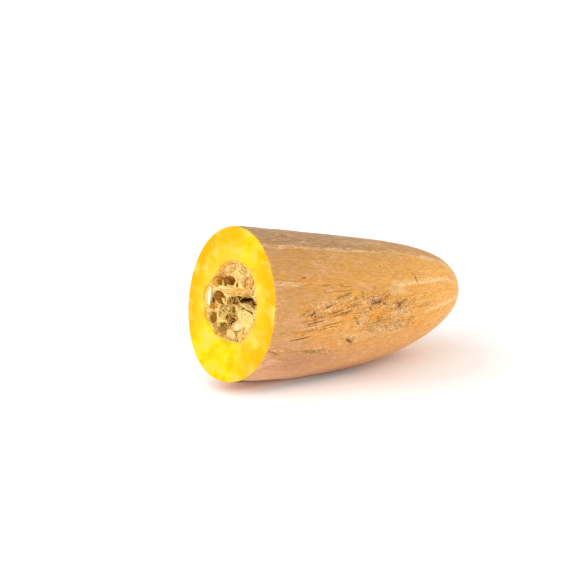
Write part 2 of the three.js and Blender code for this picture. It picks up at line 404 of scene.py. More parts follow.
relief = {  # height in mm, then the size of the marks in mm
    "dents": (0.5, 46),
    "smallDents": (0.22, 19),
    "ridges": (0.07, (2.4, 2.4, 34)),  # run lengthwise
    "furrow": (-0.22, 4.5),  # along each vein
    "thread": (0.16, 1.3),  # raised, in the furrow's middle where the pale line shows
    "cork": (0.05, 0.12, (3.2, 3.2, 7.5)),  # thickness, and the crust on it
    "knifeEdge": (0.3, 0.9),  # rounding of the cut's edge
    "knifeMarks": (0.05, 2.1),
    "scarRing": (10.4, 2.2),  # radius and width of the groove
    "scarProfile": [  # radius, height
        (0, 1.5), (4.5, 1.45), (8.0, 0.9), (8.8, -0.4), (9.8, -1.0), (11.6, -0.9), (13.0, 0)],
    "lipSink": 1.5,  # the lip sinks so far, over as many mm, where the soft flesh pulled back
}

veins = {
    "count": 11,
    "first": math.radians(120),
    "gather": (238, 270, 139, 34),  # near the tip the veins by this angle swing round by so many degrees
    "topLine": (122, 10),  # the pale line that swings with them, and how near it others do so too
    "shown": [  # from, to along the axis, angle, strength, half width of the pale line in mm
        (-20, 226, 120, 0.75, 0.5), (206, 290, 124, 1.0, 2.0), (150, 290, 153, 0.85, 1.15),
        (196, 262, 185, 0.8, 1.0), (4, 38, 155, 0.9, 0.7), (60, 200, 22, 0.7, 0.6), (20, 120, 54, 0.6, 0.6),
        (150, 260, 88, 0.5, 0.8), (60, 240, 283, 0.8, 0.8), (10, 110, 316, 0.7, 0.6),
        (140, 250, 349, 0.6, 1.2), (170, 260, 218, 0.5, 0.8),
    ],
    "dark": [(32, 98, 153, 0.9), (100, 150, 250, 0.6), (60, 110, 56, 0.6), (248, 280, 120, 0.8)],
    "plainWidth": 0.5,
}

corkScars = [  # along, angle, half length, half width in degrees, strength
    (34, 174, 9, 4, 0.7), (62, 171, 24, 6, 0.75), (90, 167, 20, 7, 0.85), (60, 184, 30, 4, 0.55),
    (124, 168, 18, 7, 1.0), (112, 179, 20, 8, 0.8), (156, 172, 20, 7, 1.0), (140, 184, 28, 9, 0.85),
    (95, 196, 13, 4, 0.85), (118, 188, 13, 5, 0.9), (165, 191, 20, 5, 0.85), (186, 172, 16, 8, 0.6),
    (186, 150, 12, 6, 0.3), (54, 187, 9, 3, 0.65), (54, 203, 22, 3, 0.8), (10, 202, 11, 2, 0.6),
    (38, 104, 8, 2.5, 0.75), (206, 178, 12, 6, 0.45), (228, 190, 10, 5, 0.35), (146, 216, 5, 2, 0.5),
    (150, 22, 34, 9, 0.8), (96, 38, 20, 6, 0.6), (60, 330, 26, 7, 0.7), (190, 350, 24, 8, 0.6),
    (120, 275, 40, 10, 0.6), (205, 60, 16, 7, 0.5), (30, 70, 10, 4, 0.5),
]

scratches = [  # along and angle of both ends, half width, darkness: splits that healed over as cork
    (69, 164, 96, 158, 0.7, 0.45), (30, 180, 79, 172, 0.4, 0.45), (36, 182, 94, 172, 0.55, 0.62),
    (44, 178, 105, 167, 0.55, 0.5), (58, 182.5, 84, 180, 0.4, 0.45), (21, 193, 45, 190, 0.5, 0.6),
    (22, 188, 48, 185, 0.4, 0.4), (57, 170, 70, 167, 0.7, 0.5), (52, 186, 76, 183, 0.35, 0.4),
    (116, 169, 136, 167, 0.6, 0.6), (175, 138, 183, 142, 0.8, 0.2), (183, 142, 188, 147, 1.1, 0.3),
    (187.5, 146, 190, 154, 1.2, 0.34), (28, 176, 38, 172, 0.5, 0.5), (35, 183.5, 54, 181, 0.45, 0.55),
    (36, 201, 74, 207, 0.5, 0.35), (34, 104, 44, 107, 0.9, 0.7), (0, 201, 18, 204, 0.6, 0.36),
    (34, 147, 41, 146, 0.5, 0.45), (176, 176, 206, 178, 0.45, 0.35), (58, 158, 100, 156, 0.35, 0.45),
    (120, 30, 178, 18, 0.7, 0.6), (130, 22, 170, 14, 0.6, 0.7), (40, 334, 84, 326, 0.7, 0.6),
    (90, 280, 140, 272, 0.7, 0.6), (180, 352, 206, 346, 0.8, 0.7), (84, 40, 110, 36, 0.9, 0.7),
]

corkStains = {  # along, angle, half length, half width in degrees, slant in degrees for each mm, strength
    "dark": [
        (130, 167, 13, 2.4, 0.17, 0.7), (157, 172, 4, 3.2, 0, 0.95), (164, 169.5, 6, 1.2, -0.3, 0.8),
        (149, 175, 9, 1.8, 0.1, 0.5), (86, 173.5, 6.5, 1.8, -0.2, 0.9), (45, 173.5, 3.6, 1.6, -0.4, 1.0),
        (28, 175, 2.6, 1.6, 0, 0.7), (95, 197, 6, 1.7, 0.4, 0.95), (36, 188, 2.6, 1.8, 0, 0.75),
        (99, 180, 4.5, 2.6, 0.8, 0.6), (98, 163, 3, 2, 0, 0.6), (64, 167, 6, 1.5, -0.3, 0.7),
        (178, 187, 2.6, 2.2, 0, 0.7), (139, 187, 3, 2, 0, 0.6), (118, 172, 2.6, 1.6, 0, 0.5),
        (62, 175, 30, 3.4, -0.17, 0.42), (146, 189, 36, 9, 0.05, 0.42), (138, 162, 22, 5, 0.1, 0.42),
        (166, 176, 16, 6, 0, 0.4), (150, 24, 18, 3, -0.2, 0.6), (96, 38, 10, 2.6, -0.2, 0.7),
        (60, 330, 12, 2.6, -0.2, 0.6),
    ],
    "olive": [
        (84, 160, 12, 1.5, -0.19, 0.8), (52, 203, 13, 2.2, 0.05, 0.95), (109, 160, 2.6, 4, 0, 0.75),
        (129, 183, 6, 2, 0, 0.8), (121, 188, 7, 4, 0, 0.5), (36, 174, 8, 2.4, 0, 0.4),
        (156, 156, 5, 4, 0, 0.4),
    ],
    "buff": [
        (142, 191, 34, 8, 0.05, 0.6), (166, 180, 20, 6, 0, 0.5), (104, 183, 10, 5, 0, 0.5),
        (158, 160, 16, 7, 0, 0.6), (26, 196, 22, 5, 0, 0.2), (90, 192, 12, 4, 0, 0.4),
        (150, 16, 30, 8, -0.1, 0.6), (70, 326, 20, 7, 0, 0.6),
    ],
    "gold": [
        (128, 177, 17, 3.2, 0, 0.95), (62, 187, 24, 3.4, -0.05, 0.5), (188, 196, 18, 7, 0.1, 0.6),
        (84, 168, 20, 4, -0.19, 0.4), (150, 164, 30, 4, 0, 0.5), (108, 205, 30, 5, 0, 0.3),
    ],
}

skinZones = {  # centre in degrees round the squash, reach in radians; then centre and reach along it, in mm
    "gold": (173, 0.42, 122, 85),
    # contact: painted shade along the lower edge, near the floor
    "contact": (241, 0.24, 90, 52),
    "flank": (212, 0.27),
    "lemon": (285, 0.75),
    "topLemon": (110, 0.4),
    "belly": (-90, 0.95),
}

skinEdges = {  # degrees from the top, or from straight below: none of it at the first, all at the second
    # crown: the upper side, where painted shade and painted sheen lie over its own bloom
    "crown": (31, 27),
    "crownHaze": (44, 20),
    # painted contact shadow: a dark band along the lower edge
    "soil": (32, 26),
    "unshadowedBelly": (14, 19),  # no painted contact shadow inside this
}


def swell(lobes, angle):
    return sum(height * np.cos(count * (angle - first)) for count, height, first in lobes)


def axisFrame(along):  # a point of the curved axis, then up and forward there
    bend = squash["bend"]
    turn = bend * along / squash["axisLength"]
    reach = squash["axisLength"] / bend
    none = np.zeros_like(turn)
    middle = np.stack([reach * np.sin(turn), none, reach * (1 - np.cos(turn))], axis=-1)
    up = np.stack([-np.sin(turn), none, np.cos(turn)], axis=-1)
    forward = np.stack([np.cos(turn), none, np.sin(turn)], axis=-1)
    return middle, up, forward


def pointAround(along, radius, angle, lift=0.0):
    along, radius, angle, lift = np.broadcast_arrays(along, radius, angle, lift)
    middle, up, forward = axisFrame(along)
    side = np.array([0.0, 1.0, 0.0])
    cosine, sine = np.cos(angle)[..., None], np.sin(angle)[..., None]
    return middle + radius[..., None] * (up * sine + side * cosine) + forward * lift[..., None]


def skinRadius(along, angle):
    share = np.clip(along / squash["axisLength"], 0, 1)
    taper = (1 - share ** squash["taperPower"]) ** (1 / squash["taperRoot"])
    return taper * (squash["cutRadius"] + (1 - share) * swell(squash["lobes"], angle))


def shareAtRadius(radius):
    return (1 - (radius / squash["cutRadius"]) ** squash["taperRoot"]) ** (1 / squash["taperPower"])


def cavityPoint(along, angle, inset=0.0):
    share = np.clip(along / cavity["depth"], 0, 1)
    taper = np.sqrt(1 - share ** cavity["taper"])
    dent, place, reach, deep = cavity["dent"]
    dent = dent * bell(turnGap(angle, place), reach) * smoothStep(deep, deep / 2, along)
    radius = np.maximum((cavity["radius"] + swell(cavity["lobes"], angle)) * taper - inset + dent, 0)
    point = pointAround(along, radius, angle)
    _, up, _ = axisFrame(np.broadcast_to(along, radius.shape))
    point = point + up * (cavity["up"] * taper * np.ones_like(radius))[..., None]
    point[..., 1] += cavity["across"] * taper
    return point


def lipNoise(angle):  # how far the lip of the cavity wanders in and out
    return 0.55 * softNoise(np.stack([np.cos(angle) * 9, np.sin(angle) * 9, 0 * angle], -1), 41)


def onSpan(along, start, stop, fade=14.0):
    return smoothStep(start - fade, start + fade, along) * (1 - smoothStep(stop - fade, stop + fade, along))


def veinTurn(along, angle):  # grows by a full turn from each vein to the next, and is 0 on one
    start, stop, place, swing = veins["gather"]
    near = bell(turnGap(angle, place), 0.6)
    gathered = math.radians(swing) * smoothStep(start, stop, along) * near
    wander = roundNoise(along, angle, 38, 3, 7) + 0.3 * roundNoise(along, angle, 9, 5, 8)
    return veins["count"] * (angle - gathered - veins["first"]) + 0.22 * wander


def veinMarks(along, angle):  # strength and width of the pale lines along the veins, and of the dark ones
    start, stop, _, swing = veins["gather"]
    lead = smoothStep(start, stop, along) * math.radians(swing)
    topLine, nearby = veins["topLine"]
    patchy = roundNoise(along, angle, 45, 6, 5)
    plain = veins["plainWidth"]
    pale, width, dark = 0.12 + 0.3 * patchy, np.full_like(patchy, plain), np.zeros_like(patchy)
    for start, stop, place, strength, halfWidth in veins["shown"]:
        led = lead * (abs(place - topLine) < nearby)
        near = np.minimum(np.abs(turnGap(angle, place)), np.abs(turnGap(angle - led, place)))
        here = onSpan(along, start, stop) * bell(near, 0.22)
        width = np.where(strength * here > pale, plain + (halfWidth - plain) * here, width)
        pale = np.maximum(pale, strength * here)
    for start, stop, place, strength in veins["dark"]:
        led = lead * (abs(place - topLine) < nearby)
        near = turnGap(angle - led, place)
        dark = np.maximum(dark, strength * onSpan(along, start, stop) * bell(near, 0.2))
    return np.clip(pale, 0, 1), width, dark


def patchShare(patches, along, angle):  # 1 inside any of these slanted patches, fading to 0 outside them
    share = np.zeros(np.broadcast(along, angle).shape)
    for place, turn, halfLength, halfWidth, slant, strength in patches:
        aside = (np.degrees(turnGap(angle, turn)) - slant * (along - place)) / halfWidth
        share = np.maximum(share, strength * np.exp(-((along - place) / halfLength) ** 4 - aside ** 4))
    return share


def corkCover(along, angle):
    return patchShare([(*scar[:4], 0, scar[4]) for scar in corkScars], along, angle)


def streakPoint(along, angle):  # skin patterns follow this, so that they draw together at the tip
    radius = squash["cutRadius"]
    return np.stack([radius * np.cos(angle), radius * np.sin(angle), along], axis=-1)


def skinBase(along, angle):
    return pointAround(along, skinRadius(along, angle), angle)


def skinPoint(along, angle):  # a place on the finished skin, with its dents and ridges, and the way out there
    base = skinBase(along, angle)
    step, turnStep, last = 0.4, 0.01, squash["axisLength"] - 0.1
    downAlong = skinBase(np.minimum(along + step, last), angle) - skinBase(np.maximum(along - step, 0), angle)
    downAround = skinBase(along, angle + turnStep) - skinBase(along, angle - turnStep)
    normal = np.cross(downAround, downAlong)
    normal /= np.linalg.norm(normal, axis=-1, keepdims=True)

    streak = streakPoint(along, angle)
    pale, width, _ = veinMarks(along, angle)
    veinGap = np.abs(turnGap(veinTurn(along, angle), 0)) / veins["count"] * skinRadius(along, angle)
    lift = 0
    for seed, (spot, name) in enumerate([(base, "dents"), (base, "smallDents"), (streak, "ridges")], 1):
        height, size = relief[name]
        lift = lift + height * softNoise(spot / size, seed)
    (deep, furrow), (raised, thread) = relief["furrow"], relief["thread"]
    lift += deep * bell(veinGap, furrow) + raised * pale * bell(veinGap, thread * width)
    thick, crusty, size = relief["cork"]
    crust = smoothStep(-0.1, 0.35, layeredNoise(streak / size, 9))
    lift += smoothStep(0.3, 0.7, corkCover(along, angle)) * (thick + crusty * crust)
    lift *= smoothStep(0, 5, along) * (1 - 0.7 * smoothStep(0.93, 0.99, along / squash["axisLength"]))
    rounded, reach = relief["knifeEdge"]
    lift -= rounded * (1 - smoothStep(0, reach, along))
    return base + normal * lift[..., None], normal


def skinSurface():
    lastTurn = math.asin(shareAtRadius(squash["scarRadius"]))
    rows = np.sin(np.linspace(0, lastTurn, squash["skinRows"])) * squash["axisLength"]
    rows[1:4] = [0.35, 0.9, 1.7]  # close rings round the cut edge
    along, angle = np.meshgrid(rows, turns, indexing="ij")
    return along, angle, skinPoint(along, angle)[0], corkCover(along, angle)


def scarSurface():  # the tip: a groove, then a low button, both cracked outwards from the middle
    last = squash["scarRadius"]
    radius = np.linspace(last, 0.5, squash["scarRows"] + 1)[1:]
    along = shareAtRadius(radius) * squash["axisLength"]
    profile = np.interp(radius, *np.array(relief["scarProfile"]).T)
    along, angle = np.meshgrid(along, turns, indexing="ij")
    radius = radius[:, None] * np.ones_like(angle)
    spokes = np.stack([np.cos(angle) * 5, np.sin(angle) * 5, radius / 14], axis=-1)
    cracks = layeredNoise(spokes, 31)
    groove, reach = relief["scarRing"]
    ringShare = bell(radius - groove, reach)
    lift = profile[:, None] + cracks * (0.5 * ringShare + 0.22 * bell(radius, 8)) * smoothStep(0, 3, radius)
    wobble = 1 + 0.05 * softNoise(spokes / 3, 33) * smoothStep(last, last - 3, radius)
    return along, angle, pointAround(along, radius * wobble, angle, lift), ringShare


def faceSurface():  # the cut: from the lip of the cavity out to the rind
    share = np.linspace(0, 1, squash["faceRows"] + 2)[:-1] ** 1.15  # closer rings towards the lip
    share, angle = np.meshgrid(share, turns, indexing="ij")
    inner = cavityPoint(np.zeros_like(angle), angle, lipNoise(angle))
    outer = pointAround(np.zeros_like(angle), skinRadius(0 * angle, angle) - relief["knifeEdge"][0], angle)
    point = inner + (outer - inner) * share[..., None]
    fromLip = np.linalg.norm(point - inner, axis=-1)
    radial = np.stack([np.cos(angle) * 42, np.sin(angle) * 42, fromLip / 5], axis=-1)
    depth = relief["lipSink"] * bell(fromLip, relief["lipSink"])
    depth += 0.16 * (1 + layeredNoise(radial, 43)) * smoothStep(0.98, 0.9, share)
    height, spacing = relief["knifeMarks"]
    blade = point[..., 2] * 0.83 + point[..., 1] * 0.56  # the way the knife was drawn
    blade = np.sin(blade / spacing + 1.5 * softNoise(point / 25, 44))
    depth += height * blade * smoothStep(1.0, 0.93, share)
    point[..., 0] += np.maximum(depth, 0)
    return share, angle, point


def wallSurface():  # the cavity behind the lip, deepest ring first
    turn = np.linspace(1.45, 0, squash["wallRows"] + 1)[:-1]
    along = np.sin(turn) * cavity["depth"]
    along, angle = np.meshgrid(along, turns, indexing="ij")
    folds = layeredNoise(np.stack([np.cos(angle) * 14, np.sin(angle) * 14, along / 9], -1), 47)
    inset = (0.3 * folds - 0.2) * smoothStep(5, 18, along) + lipNoise(angle) * smoothStep(8, 3, along)
    return along, angle, cavityPoint(along, angle, inset)


def skinZone(name, angle, along=None):
    place, reach, *span = skinZones[name]
    return bell(turnGap(angle, place), reach) * (bell(along - span[0], span[1]) if span else 1)


def skinParts(along, angle):  # where each colour of the rind shows, as values from 0 to 1
    cloud = roundNoise(along, angle, 18, 8, 51)
    edge = np.degrees(turnGap(angle, 90)) + 2.5 * cloud
    edge += 3.5 * roundNoise(along, angle, 26, 11, 52) + 2.0 * roundNoise(along, angle, 7, 24, 53)
    edge = np.abs(edge)
    # painted shade low on the side and near the floor, over the flank's own duller tone
    flank = 0.75 * skinZone("flank", angle) * smoothStep(130, 40, along)
    # painted contact shadow along the lower edge, none on the belly under it
    fromBelow = np.degrees(np.abs(turnGap(angle, 270))) + 1.5 * cloud
    soil = smoothStep(*skinEdges["soil"], fromBelow) * smoothStep(*skinEdges["unshadowedBelly"], fromBelow)
    soil = 0.95 * soil * smoothStep(190, 90, along) * (along > 0)
    haze = smoothStep(*skinEdges["crownHaze"], edge)
    pale, paleWidth, dark = veinMarks(along, angle)
    stains = {kind: patchShare(patches, along, angle) for kind, patches in corkStains.items()}
    return {
        "palePart": pale,
        "paleWidth": paleWidth,
        "darkPart": dark,
        "stains": np.stack([stains[kind] for kind in ("dark", "olive", "buff")], -1),
        "goldStain": stains["gold"],
        # the upper side: painted shade and painted sheen over its own bloom
        "crownShadeAndBloomPart": 0.8 * smoothStep(*skinEdges["crown"], edge) + 0.2 * haze,
        "goldPart": skinZone("gold", angle, along),
        "lemonPart": np.maximum(skinZone("lemon", angle), 0.5 * skinZone("topLemon", angle)),
        "bellyPart": skinZone("belly", angle),
        "flankAndContactShadePart": np.maximum(flank, 0.8 * skinZone("contact", angle, along)),
        "contactShadowPart": soil,
    }


def addSquash():
    wallAlong, wallAngle, wall = wallSurface()
    share, faceAngle, face = faceSurface()
    skinAlong, skinAngle, skin, cover = skinSurface()
    scarAlong, scarAngle, scar, scarRing = scarSurface()
    columns = squash["columns"]
    rings = np.concatenate([wall, face, skin, scar])
    rows = len(rings)
    deepEnd = cavityPoint(np.array([cavity["depth"]]), np.zeros(1))
    tip = scar[-1].mean(axis=0, keepdims=True)
    points = toRow(np.concatenate([rings.reshape(-1, 3), deepEnd, tip]))
    points[:, 2] = np.maximum(points[:, 2], 0)  # the belly's flat patch

    along = np.concatenate([wallAlong, 0 * share, skinAlong, scarAlong]).ravel()
    angle = np.concatenate([wallAngle, faceAngle, skinAngle, scarAngle]).ravel()
    radius = skinRadius(skinAlong, skinAngle)
    radius = np.concatenate([0 * wallAlong, 0 * share, radius, 0 * scarAlong]).ravel()
    fromAxis = np.hypot(rings[..., 1], rings[..., 2]).ravel()
    none = np.zeros(wallAlong.size + share.size)
    phase = veinTurn(along, angle)
    values = skinParts(along, angle) | {
        "squashPoint": rings.reshape(-1, 3),
        "streakPoint": streakPoint(along, angle),
        "slantPoint": streakPoint(along, angle - scabs["slant"] * along),
        "radialPoint": np.stack([60 * np.cos(angle), 60 * np.sin(angle), fromAxis], -1),
        "veinWave": np.stack([np.cos(phase), np.sin(phase), radius / veins["count"]], -1),
        "fleshShare": np.concatenate([-wallAlong / 30, share, 1 + 0 * skinAlong, 1 + 0 * scarAlong]).ravel(),
        "corkPart": np.concatenate([none, cover.ravel(), 0 * scarAlong.ravel()]),
        "scarPart": np.concatenate([
            none, bell(skinAlong - squash["axisLength"], 9).ravel(), 1 + scarRing.ravel()]),
    }
    values = {key: np.concatenate([value, value[:1], value[-1:]]) for key, value in values.items()}

    finishes = [waxyRind(), cutFlesh(), corkyScar()]
    piece = addMesh("squash_half_skin_and_flesh", points, closedFaces(rows, columns), finishes, values)
    rowOf = np.arange(rows - 1).repeat(columns)
    inFlesh = rowOf < len(wall) + len(face)
    inScar = rowOf >= len(wall) + len(face) + len(skin) - 1
    slot = np.concatenate([np.where(inFlesh, 1, np.where(inScar, 2, 0)), [1] * columns, [2] * columns])
    piece.data.polygons.foreach_set("material_index", slot.astype(np.int32))
    piece.data.set_sharp_from_angle(angle=math.radians(50))
    addBakeMap(piece, len(wall), len(face), rows, columns)
    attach(piece, "root")
    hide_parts("squash_half")
    print("squash:", len(piece.data.polygons), "faces")


bakeMap = {  # places on the flat map, from 0 to 1: across and up of the start, then the width and the height
    "skin": (0.01, 0.35, 0.98, 0.64),
    "wall": (0.36, 0.01, 0.53, 0.32),
    "face": (0.17, 0.17, 0.076, 0.084),  # its middle, the lip's radius and how much further out the rind is
}


def addBakeMap(piece, wallRows, faceRows, rows, columns):  # skin on top, cut face and cavity below
    wallX, wallY, wallWide, wallHigh = bakeMap["wall"]
    skinX, skinY, skinWide, skinHigh = bakeMap["skin"]
    faceX, faceY, lip, ringWide = bakeMap["face"]
    row, column = np.meshgrid(np.arange(rows - 1), np.arange(columns), indexing="ij")
    onWall, onFace = row[..., None] < wallRows - 1, row[..., None] < wallRows + faceRows - 1
    flat = []
    for r, c in [(row, column), (row, column + 1), (row + 1, column + 1), (row + 1, column)]:
        turn = 2 * math.pi * c / columns
        reach = lip + ringWide * (r - wallRows) / (faceRows - 1.0)
        disc = np.stack([faceX + reach * np.cos(turn), faceY + reach * np.sin(turn)], -1)
        wall = np.stack([wallX + wallWide * c / columns, wallY + wallHigh * r / wallRows], -1)
        rowShare = (r - wallRows - faceRows + 1) / (rows - wallRows - faceRows)
        skin = np.stack([skinX + skinWide * c / columns, skinY + skinHigh * rowShare], -1)
        flat.append(np.where(onWall, wall, np.where(onFace, disc, skin)))
    flat = np.stack(flat, axis=2).reshape(-1, 2)
    fans = []
    for x, wide, pole, base, ends in (
            (wallX, wallWide, wallY / 2, wallY, (1, 0)), (skinX, skinWide, 0.995, skinY + skinHigh, (0, 1))):
        for k in range(columns):
            fans.append((x + wide * (k + 0.5) / columns, pole))
            fans += [(x + wide * (k + end) / columns, base) for end in ends]
    layer = piece.data.uv_layers.new(name="OFBake")
    layer.data.foreach_set("uv", np.concatenate([flat, np.array(fans)]).astype(np.float32).ravel())


# Scabs: healed splits and flecks of cork that stand on the rind, dry and rough to the eye

scabs = {
    "count": 1300,
    "tried": 90000,  # places tried for the flecks; the cork's thickness decides which stay
    "halfLength": (0.2, 0.9),
    "halfWidth": (0.18, 0.42),
    "height": (0.03, 0.12),
    "slant": math.radians(-0.17),  # turn round the squash for each mm along
    "dash": 24.0,  # the scratches are broken into dashes about so long
    "degree": 1.25,  # mm round the squash
    "paleShare": 0.16,
}

scabFinish = {
    "finish": {"Roughness": 0.85, "IOR": 1.4, "Specular IOR Level": 0.1},
    "colours": {
        "buff": "#EED09A", "tan": "#BF8A48", "brown": "#865628", "dark": "#563416", "green": "#8F8248"},
    "steps": [(0.22, "buff"), (0.48, "tan"), (0.74, "brown"), (1.0, "dark")],
    "grain": 0.6,
    "bumps": {"grain": (0.4, 0.15)},
}


def ribbons(points, normals, halfWidth, height, tone):  # flat closed strips that lie on a surface
    side = np.cross(np.gradient(points, axis=1), normals)
    side /= np.linalg.norm(side, axis=-1, keepdims=True) + 1e-9
    thin = np.sqrt(np.clip(1 - np.linspace(-1, 1, points.shape[1]) ** 4, 0.05, 1))
    return closedStrips(points, side, normals, halfWidth * thin, height * thin, tone, sink=0.2)


def scratchDashes(rng):
    dashes = []
    for along0, turn0, along1, turn1, halfWidth, dark in scratches:
        length = math.hypot(along1 - along0, (turn1 - turn0) * scabs["degree"])
        count = max(1, round(length / scabs["dash"]))
        for k in range(count):
            ends = (k + rng.uniform(-0.05, 0.12)) / count, (k + rng.uniform(0.8, 1.05)) / count
            place = [along0 + (along1 - along0) * t for t in ends]
            turn = [turn0 + (turn1 - turn0) * t + rng.normal(0, 0.35) for t in ends]
            dashes.append((*place, *turn, halfWidth * rng.uniform(0.75, 1.2), dark * rng.uniform(0.8, 1.3)))
    return np.array(dashes).T


def scatterFlecks(rng):  # flecks of cork, thickest where the scars are
    along = rng.uniform(3, 250, scabs["tried"])
    angle = rng.uniform(0, 2 * math.pi, along.size)
    clump = np.maximum(0.5 + 0.4 * layeredNoise(streakPoint(along, angle) / [5, 5, 7], 93), 0)
    cover = 0.5 * corkCover(along, angle) ** 1.5 * clump ** 1.3
    cover += 0.35 * patchShare(corkStains["dark"], along, angle)
    kept = rng.uniform(0, 1, along.size) < cover + 0.0018
    along, angle = along[kept][:scabs["count"]], angle[kept][:scabs["count"]]
    size = rng.uniform(0, 1, along.size) ** 2.2
    low, high = scabs["halfLength"]
    halfLength = low + (high - low) * size * rng.uniform(0.4, 1, along.size)
    halfWidth = rng.uniform(*scabs["halfWidth"], along.size) * (0.6 + 0.5 * size)
    pale = rng.uniform(0, 1, along.size) < scabs["paleShare"]
    halfLength = np.where(pale, 0.45 * halfLength + 0.15, halfLength)
    turn = scabs["slant"] * rng.normal(1, 1.2 + 5 * smoothStep(85, 115, along))
    ends = np.degrees([angle - turn * halfLength, angle + turn * halfLength])
    dark = np.where(pale, 0.05, rng.uniform(0.45, 0.95, along.size))
    return np.stack([along - halfLength, along + halfLength, *ends, halfWidth, dark])


def addScabs():
    rng = np.random.default_rng(5)
    parts = []
    for marks, steps in ((scratchDashes(rng), 9), (scatterFlecks(rng), 4)):
        along0, along1, turn0, turn1, half, dark = marks
        t = np.linspace(0, 1, steps)
        along = np.maximum(along0[:, None] + (along1 - along0)[:, None] * t, 0.6)
        jitter = softNoise(np.stack([t * steps * 0.7 + 7.3 * np.arange(len(half))[:, None]] * 3, -1), 91)
        angle = np.radians(turn0[:, None] + (turn1 - turn0)[:, None] * t) + 0.004 * jitter
        wide = half[:, None] * (1 + 0.35 * jitter)
        high = rng.uniform(*scabs["height"], (len(half), 1)) * np.ones_like(t)
        green = rng.uniform(0, 1, len(half)) ** 4 * (steps == 4)
        parts.append(ribbons(*skinPoint(along, angle), wide, high, np.stack([dark, green])))
    points, faces, (dark, green) = joinParts(parts)
    points = toRow(points)
    points[:, 2] = np.maximum(points[:, 2], 0.0001)
    piece = addMesh("cork_scabs", points, faces, [corkScab()], {"darkPart": dark, "greenPart": green})
    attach(piece, "root")
    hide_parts("squash_half")
    print("scabs:", len(piece.data.polygons), "faces")


def corkScab():
    material, tree, surface, colours, values = newMaterial(
        "dry_healed_cork", scabFinish, ["darkPart", "greenPart"])
    place = addNode(tree, "ShaderNodeTexCoord").outputs["Object"]
    values["grain"] = addMarks(tree, place, scabFinish["grain"] * mm)
    tone = addShare(tree, values["darkPart"], part=values["grain"], reach=0.4)
    body = addNode(tree, "ShaderNodeValToRGB", {"Fac": tone},
                   stops=[(at, colours[name]) for at, name in scabFinish["steps"]]).outputs["Color"]
    body = addTint(tree, body, colours["green"], values["greenPart"])
    joinSurface(tree, surface, body, scabFinish, values)
    return material


# Rind: dry waxy skin of a ripe winter squash; soft sheen, lengthwise streaks and pale vein lines

